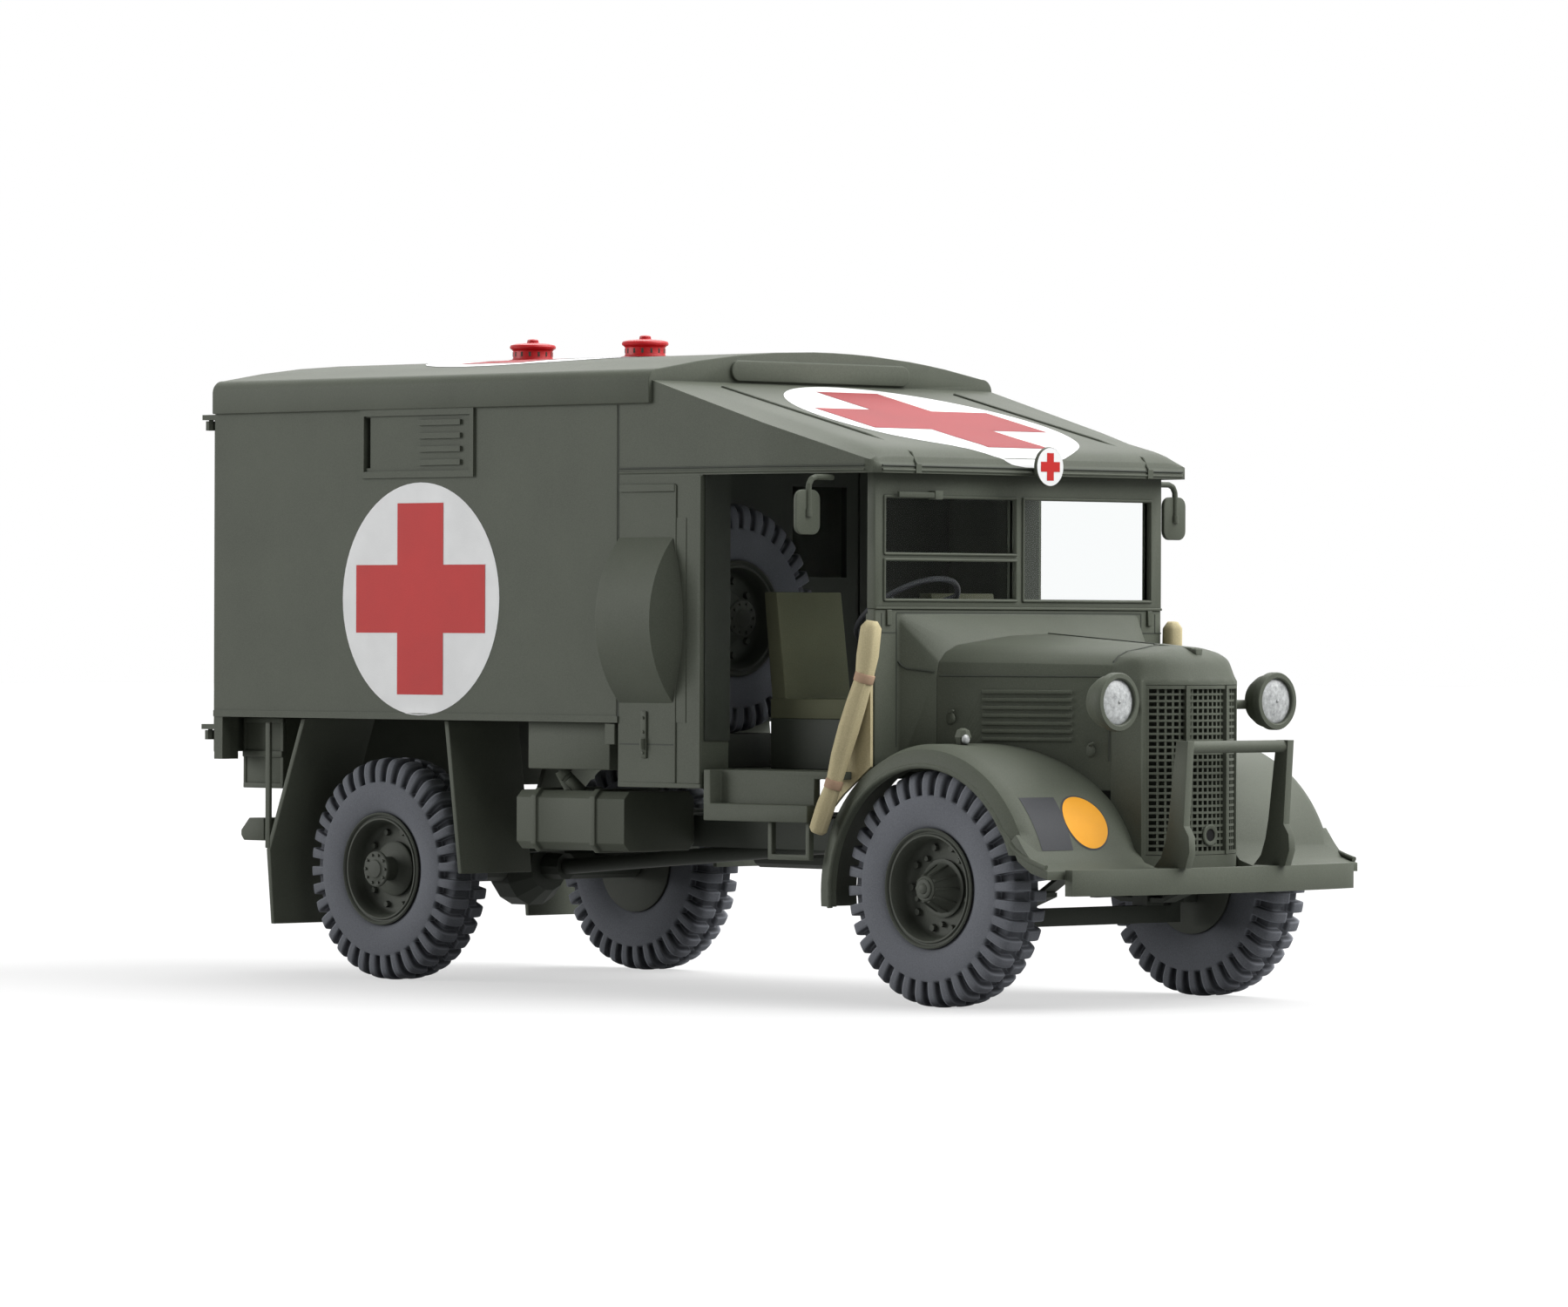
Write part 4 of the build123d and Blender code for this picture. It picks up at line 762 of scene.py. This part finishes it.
# Seams down the cab roof's slope
for y in (-15.3, 15.3):
    line = [dropOnto(cabRoofTree, at(x, y, 70), down, 0.04) for x in (-30.6, -24, -18, -12, -6.4, -5.75)]
    addBead(ribs, line + [at(-5.56, y, 47.75), at(-5.56, y, 47.15)], 0.15)
    addBlock(ribs, (-5.7, -5.42), (y - 0.35, y + 0.35), (47.1, 47.9))
makePiece("bodyRibs", ribs, paint)
# Painted shade: the grooves are dark strips
makePiece("bodyGrooves", grooves, grooveShadePaint)

# Strap hinge under the bulge
bm = bmesh.new()
hinge = {"x": -33.5, "low": 21.3, "high": 25.6, "pin": 22.6}
addBlock(bm, (hinge["x"] - 0.36, hinge["x"] + 0.36), (sideY - 0.22, sideY), (hinge["low"], hinge["high"]))
bevelSharp(bm, 0.12)
addRod(bm, at(hinge["x"], sideY - 0.3, hinge["pin"] - 0.5), at(hinge["x"], sideY - 0.3, hinge["pin"] + 0.5), 0.26, 10)
for z in (21.8, 23.7, 25.0):
    addRod(bm, at(hinge["x"], sideY - 0.36, z), at(hinge["x"], sideY - 0.1, z), 0.14, 8)
makePiece("strapHinge", bm, paint)
print("body fittings made")

# Fuel tank straps, filler neck and the framed locker
bm = bmesh.new()
neck = [at(-46.6, -17.6, 17.9), at(-47.6, -18.4, 19.2), at(-48.0, -18.7, 19.7)]
addBead(bm, neck, 0.55, 14)
addRod(bm, at(-47.75, -18.5, 19.45), at(-48.25, -18.85, 20.0), 0.72, 16)
for low, high, out in ((20.6, 21.2, 0.28), (17.6, 18.1, 0.16), (23.9, 24.4, 0.16)):
    addBlock(bm, (-92.9, -87.1), (-19.0 - out, -18.6), (low, high))
for x in (-92.75, -87.3):
    addBlock(bm, (x - 0.2, x + 0.2), (-19.1, -18.7), (17.7, 24.4))
addBlock(bm, (-87.25, -86.6), (-21.25, -20.9), (11.9, 24.0))
bevelSharp(bm, 0.08, 50)
makePiece("tankAndLockerFittings", bm, paint)

# Bonnet seams, catches and the beak on the nose
hoodTree = surfaceOf("bonnet", "nose_shell")
seams = bmesh.new()
beads = bmesh.new()


def known(points):
    return [point for point in points if point is not None]


noseSeam = [dropOnto(hoodTree, at(10.3, -30, z), inward) for z in (21.5, 23, 25, 27, 28.6)]
noseSeam += [dropOnto(hoodTree, at(10.3, y, 60), down) for y in (-6.6, -6.0, -5.0, -3.6, -1.8, 0)]
addBead(seams, known(noseSeam), 0.085)
hingeLine = [dropOnto(hoodTree, at(x, -30, 29.0), inward) for x in (-3.9, 0, 4, 8, 10.2)]
addBead(seams, known(hingeLine), 0.08)
catches = ((-3.0, 25.2), (8.7, 22.4))
for x, z in catches:
    place = dropOnto(hoodTree, at(x, -30, z), inward)
    addRod(beads, place + inward * 0.15 * mm, place - inward * 0.15 * mm, 0.62, 14, 0.55)
    addRod(beads, place + Vector((0, -0.2, 0.5)) * mm, place + Vector((0.7, -0.2, 0.75)) * mm, 0.14, 8)
addMirror(seams)
addMirror(beads)
ridge = [dropOnto(hoodTree, at(x, 0.0, 60), down) for x in (-3.9, 0, 4, 8, 10.3)]
addBead(seams, known(ridge), 0.1)
# Painted shade: the bonnet's seam lines are dark beads
makePiece("bonnetSeams", seams, grooveShadePaint)
beak = addBox(beads, at(9.6, -0.75, 31.35), at(14.1, 0.75, 31.95))
for vert in beak:
    if vert.co.x > at(12, 0, 0).x:
        vert.co.z -= 0.35 * mm
        vert.co.y *= 0.75
tip = addBox(beads, at(13.7, -0.5, 29.85), at(14.55, 0.5, 31.5))
for vert in tip:
    if vert.co.z < at(0, 0, 31).z:
        vert.co.y *= 0.35
bevelSharp(beads, 0.12, 50)
makePiece("bonnetFittings", beads, paint)
print("bonnet fittings made")

# Grille: thin rows spun about the bow's centre, posts just behind, two ribs and a frame
grille = {"radius": 8.94, "centre": 6.712, "half": 5.93, "low": 13.25, "high": 28.25, "frame": 0.4, "rows": 24,
          "thick": 0.2, "deep": 0.42, "rib": 2.5}
reachAngle = math.asin((grille["half"] - 0.1) / grille["radius"])
bm = bmesh.new()
pitch = (grille["high"] - grille["low"] - grille["frame"]) / (grille["rows"] + 1)
bands = [(grille["low"] + grille["frame"] / 2 + (row + 1) * pitch, grille["thick"], 0.0)
         for row in range(grille["rows"])]  # height, thickness, how far proud
bands += [(grille["low"] + 0.15, 0.3, 0.2), (grille["high"] - 0.15, 0.3, 0.2)]
axis = at(grille["centre"], 0, 0)
for z, tall, proud in bands:
    square = [(grille["radius"] - grille["deep"], -tall / 2), (grille["radius"] + proud, -tall / 2),
              (grille["radius"] + proud, tall / 2), (grille["radius"] - grille["deep"], tall / 2)]
    verts = [bm.verts.new(axis + Vector((radius * math.cos(reachAngle), -radius * math.sin(reachAngle), z + rise)) * mm)
             for radius, rise in square]
    ring = [bm.edges.new((verts[i], verts[(i + 1) % 4])) for i in range(4)]
    bmesh.ops.spin(bm, geom=verts + ring, cent=axis, axis=(0, 0, 1), angle=2 * reachAngle, steps=18, use_merge=False)
uprights = [(side * (grille["half"] - 0.16), 0.32, 0.2) for side in (-1, 1)]
uprights += [(side * grille["rib"], 0.42, 0.34) for side in (-1, 1)]
for low, high, count in ((-5.6, -2.5, 4), (-2.5, 2.5, 7), (2.5, 5.6, 4)):
    uprights += [(low + (high - low) * (index + 1) / (count + 1), grille["thick"], -0.05) for index in range(count)]
for y, wide, proud in uprights:
    depth = grille["deep"] + proud
    post = bmesh.ops.create_cube(bm, size=1)
    bmesh.ops.scale(bm, vec=Vector((depth, wide, grille["high"] - grille["low"])) * mm, verts=post["verts"])
    bmesh.ops.translate(bm, vec=((grille["radius"] + proud - depth / 2) * mm, 0, 0), verts=post["verts"])
    swing = Matrix.Rotation(math.asin(y / grille["radius"]), 4, "Z")
    middle = axis + Vector((0, 0, (grille["high"] + grille["low"]) / 2 * mm))
    bmesh.ops.transform(bm, matrix=Matrix.Translation(middle) @ swing, verts=post["verts"])
bmesh.ops.recalc_face_normals(bm, faces=bm.faces[:])
piece = makePiece("grilleLattice", bm, paint, smooth=25)
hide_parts("grille")

# The hole for the starting handle, in its collar
crankSection = ((0.56, -0.4), (0.56, 0.12), (0.64, 0.17), (0.88, 0.17), (0.96, 0.1), (0.96, -0.4))
bm = bmesh.new()
turnSection(bm, crankSection, at(15.66, 0.2, 14.95), ahead, 28)
makePiece("crankCollar", bm, paint)
# Painted shade: a near-black disc stands in for the shade inside the hole
bm = bmesh.new()
addRod(bm, at(15.3, 0.2, 14.95), at(15.68, 0.2, 14.95), 0.62, 24)
makePiece("crankHole", bm, shadePaint)

# Seams of the scuttle and its corner posts
bm = bmesh.new()
fittings = bmesh.new()
for side in (-1, 1):
    addBlock(bm, (-7.4, -7.34), (side * 16.2, side * 16.08), (22.6, 34.6))
    addBlock(bm, (-7.4, -7.34), (side * 18.9, side * 16.1), (32.8, 32.9))
    addBlock(bm, (-7.4, -7.34), (side * 18.1, side * 18.0), (32.85, 34.6))
    addBlock(fittings, (-7.4, -7.15), (side * 17.5, side * 16.9), (33.5, 34.9))
    curve = ((-7.36, 15.95, 30.3), (-7.15, 15.72, 29.9), (-6.7, 15.52, 29.62), (-5.56, 15.0, 29.5),
             (-4.3, 14.42, 29.36))
    addBead(bm, [at(x, side * y, z) for x, y, z in curve], 0.1)
addBlock(bm, (-7.4, -7.34), (-16.1, 16.1), (34.56, 34.68))
addBlock(fittings, (-7.4, -7.2), (-18.9, 18.9), (34.93, 35.17))
# Painted shade: the scuttle's seam lines are dark strips
makePiece("scuttleSeams", bm, grooveShadePaint)
bevelSharp(fittings, 0.06, 50, 1)
makePiece("scuttleFittings", fittings, paint)

# Hinge straps and handles on the rear doors
face = -94.6
for side, door in ((-1, "right_rear_door"), (1, "left_rear_door")):
    bm = bmesh.new()
    for z in (22.7, 52.6):
        addBlock(bm, (face - 0.28, face + 0.02), (side * 20.9, side * 15.4), (z - 0.42, z + 0.42))
        for y in (16.2, 18.2, 20.0):
            addRod(bm, at(face - 0.42, side * y, z), at(face - 0.2, side * y, z), 0.2, 8)
    windowEdge = [at(face, side * y, z) for y, z in ((5.2, 38.1), (15.0, 38.1), (15.0, 47.9), (5.2, 47.9), (5.2, 38.1))]
    addBead(bm, windowEdge, 0.2)
    if side == -1:  # handle on the right door
        addBlock(bm, (face - 0.25, face), (-2.4, -1.2), (32.4, 35.0))
        addRod(bm, at(face - 0.2, -1.8, 33.7), at(face - 1.0, -1.8, 33.7), 0.22, 10)
        addRod(bm, at(face - 0.9, -1.8, 33.7), at(face - 0.9, -3.6, 33.4), 0.24, 10)
    else:  # strip over the gap on the left door
        addBlock(bm, (face - 0.3, face), (-0.35, 0.25), (21.3, 53.4))
    bevelSharp(bm, 0.06, 50, 1)
    makePiece("rearDoorFittings" + door, bm, paint, door)
print("grille and rear door fittings made")

# The bulge's sloping front face and the plate behind it
bm = bmesh.new()
bulge = {"front": -29.8, "flat": -28.4, "radius": 10.9, "small": 7.7, "y": -14.4, "z": 33.9, "skin": -22.28,
         "thick": 0.12}
verts = [bm.verts.new(at(bulge["front"], bulge["y"], bulge["z"] + bulge["radius"])),
         bm.verts.new(at(bulge["flat"], bulge["y"], bulge["z"] + bulge["small"]))]
edge = bm.edges.new(verts)
bmesh.ops.spin(bm, geom=verts + [edge], cent=at(0, bulge["y"], bulge["z"]), axis=(-1, 0, 0), angle=2 * math.pi,
               steps=96, use_merge=True)
sliceAll(bm, at(0, bulge["skin"], 0), (0, 1, 0), True)
bm.normal_update()
bmesh.ops.solidify(bm, geom=bm.faces[:], thickness=bulge["thick"] * mm)
addBlock(bm, (-29.9, -28.1), (-22.31, -22.1), (24.6, 43.2))
bmesh.ops.recalc_face_normals(bm, faces=bm.faces[:])
makePiece("bulgeFace", bm, paint)

# Painted shade: dark strips on the posts beside the cab's seats
bm = bmesh.new()
for side in (-1, 1):
    addBlock(bm, (-26.0, -25.9), (side * 22.0, side * 18.8), (23.0, 47.1))
makePiece("doorPostShade", bm, interiorShadePaint)

# Rolled lips along the wing arches and plain plates inside them
wing = {"arch": 11.5, "centre": 9.6, "plate": 12.6}
lipArc = [(wing["arch"] * math.cos(math.radians(turn)), wing["centre"] + wing["arch"] * math.sin(math.radians(turn)))
          for turn in range(187, 27, -6)]
lipTail = [(10.85, 14.45), (11.5, 13.85), (12.35, 13.35), (13.3, 12.95), (14.2, 12.65), (15.1, 12.4)]
bm = bmesh.new()
addBead(bm, [at(x, -20.4, z) for x, z in lipArc + lipTail], 0.26, 10)
addMirror(bm)
makePiece("wingLips", bm, paint, smooth=60)
bm = bmesh.new()
addRod(bm, at(0, -11.6, wing["centre"]), at(0, -11.3, wing["centre"]), wing["plate"], 64)
sliceAll(bm, at(0, 0, 14.2), (0, 0, -1), True)
addMirror(bm)
makePiece("innerWingPlates", bm, chassisPaint)
print("bulge face and wing lips made")

# Raised beads round the windscreen panes
bm = bmesh.new()
panes = (
    # right, left, low, high
    (-17.75, -0.65, 35.75, 39.4), (-17.75, -0.65, 39.9, 45.05), (0.25, 17.45, 35.75, 45.05),
)
for right, left, low, high in panes:
    line = [(right, low), (left, low), (left, high), (right, high), (right, low)]
    addBead(bm, [at(-7.33, y, z) for y, z in line], 0.14)
makePiece("paneBeads", bm, paint)
print("windscreen beads made")

# Floor, light and camera
stageSizes = {"reach": 3.0, "glow": 0.57, "albedo": 0.30, "diffuse": 0.02}


# One for camera, glossy and transmission rays, so that metal and glass see the white too
def rayShare(tree):
    rays = addNode(tree, "ShaderNodeLightPath")
    total = rays.outputs["Is Camera Ray"]
    for kind in ("Is Glossy Ray", "Is Transmission Ray"):
        add = addNode(tree, "ShaderNodeMath", operation="ADD", use_clamp=True)
        tree.links.new(total, add.inputs[0])
        tree.links.new(rays.outputs[kind], add.inputs[1])
        total = add.outputs[0]
    return total


bm = bmesh.new()
bmesh.ops.create_grid(bm, x_segments=1, y_segments=1, size=stageSizes["reach"])
floorMesh = bpy.data.meshes.new("floor")
bm.to_mesh(floorMesh)
bm.free()
floor = bpy.data.objects.new("floor", floorMesh)
scene.collection.objects.link(floor)
floorMaterial, floorTree, floorShader = newMaterial("paleFloor", (stageSizes["albedo"],) * 3, 0.9)
floorShader.inputs["Specular IOR Level"].default_value = 0.1
glow = addNode(floorTree, "ShaderNodeEmission", Strength=1.0)
scaled = addNode(floorTree, "ShaderNodeMath", operation="MULTIPLY")
scaled.inputs[1].default_value = stageSizes["glow"]
floorTree.links.new(rayShare(floorTree), scaled.inputs[0])
floorTree.links.new(scaled.outputs[0], glow.inputs["Strength"])
added = addNode(floorTree, "ShaderNodeAddShader")
floorTree.links.new(floorShader.outputs[0], added.inputs[0])
floorTree.links.new(glow.outputs[0], added.inputs[1])
floorTree.links.new(added.outputs[0], floorTree.nodes["Material Output"].inputs["Surface"])
floorMesh.materials.append(floorMaterial)

world = bpy.data.worlds.new("studio")
scene.world = world
world.use_nodes = True
worldTree = world.node_tree
backdrop = worldTree.nodes["Background"]
brightness = addNode(worldTree, "ShaderNodeMix", data_type="FLOAT")
brightness.inputs[2].default_value = stageSizes["diffuse"]
brightness.inputs[3].default_value = 1.0
worldTree.links.new(rayShare(worldTree), brightness.inputs[0])
worldTree.links.new(brightness.outputs[0], backdrop.inputs["Strength"])
backdrop.inputs["Color"].default_value = (1, 1, 1, 1)

suns = (
    # name, direction it comes from, strength, angle
    ("frontSun", (0.788, 0.0, 0.616), 1.15, 0.9),
    ("farSun", (0.557, 0.557, 0.616), 2.54, 0.9),
    ("behindSun", (-0.557, 0.557, 0.616), 0.71, 0.6),
    ("topSun", (0.0, 0.423, 0.906), 2.24, 1.1),
    ("lowSun", (-0.692, -0.692, 0.208), 1.89, 0.6),
)
for name, direction, strength, spread in suns:
    data = bpy.data.lights.new(name, "SUN")
    data.energy = strength
    data.angle = spread
    sun = bpy.data.objects.new(name, data)
    sun.rotation_euler = Vector(direction).to_track_quat("Z", "Y").to_euler()
    scene.collection.objects.link(sun)

cameraFit = {"focal": 180.96, "azimuth": 0.78592, "elevation": 0.00245, "roll": 0.00341,
             "target": (-35.002, -0.002, 31.409), "distance": 736.184, "shift": (-0.01385, -0.0038)}
azimuth, elevation, roll = cameraFit["azimuth"], cameraFit["elevation"], cameraFit["roll"]
back = Vector((math.sin(azimuth) * math.cos(elevation), -math.cos(azimuth) * math.cos(elevation),
               math.sin(elevation)))
flat = sideUp.cross(back).normalized()
rise = back.cross(flat)
across = flat * math.cos(roll) + rise * math.sin(roll)
upward = rise * math.cos(roll) - flat * math.sin(roll)
cameraData = bpy.data.cameras.new("photoView")
cameraData.lens = cameraFit["focal"]
cameraData.sensor_width = 36
cameraData.shift_x, cameraData.shift_y = cameraFit["shift"]
cameraData.clip_start = 0.01
cameraData.clip_end = 20
camera = bpy.data.objects.new("photoView", cameraData)
spot = at(*cameraFit["target"]) + back * cameraFit["distance"] * mm
camera.matrix_world = Matrix.Translation(spot) @ Matrix((across, upward, back)).transposed().to_4x4()
scene.collection.objects.link(camera)
scene.camera = camera
scene.view_settings.view_transform = "Standard"
print("stage ready")
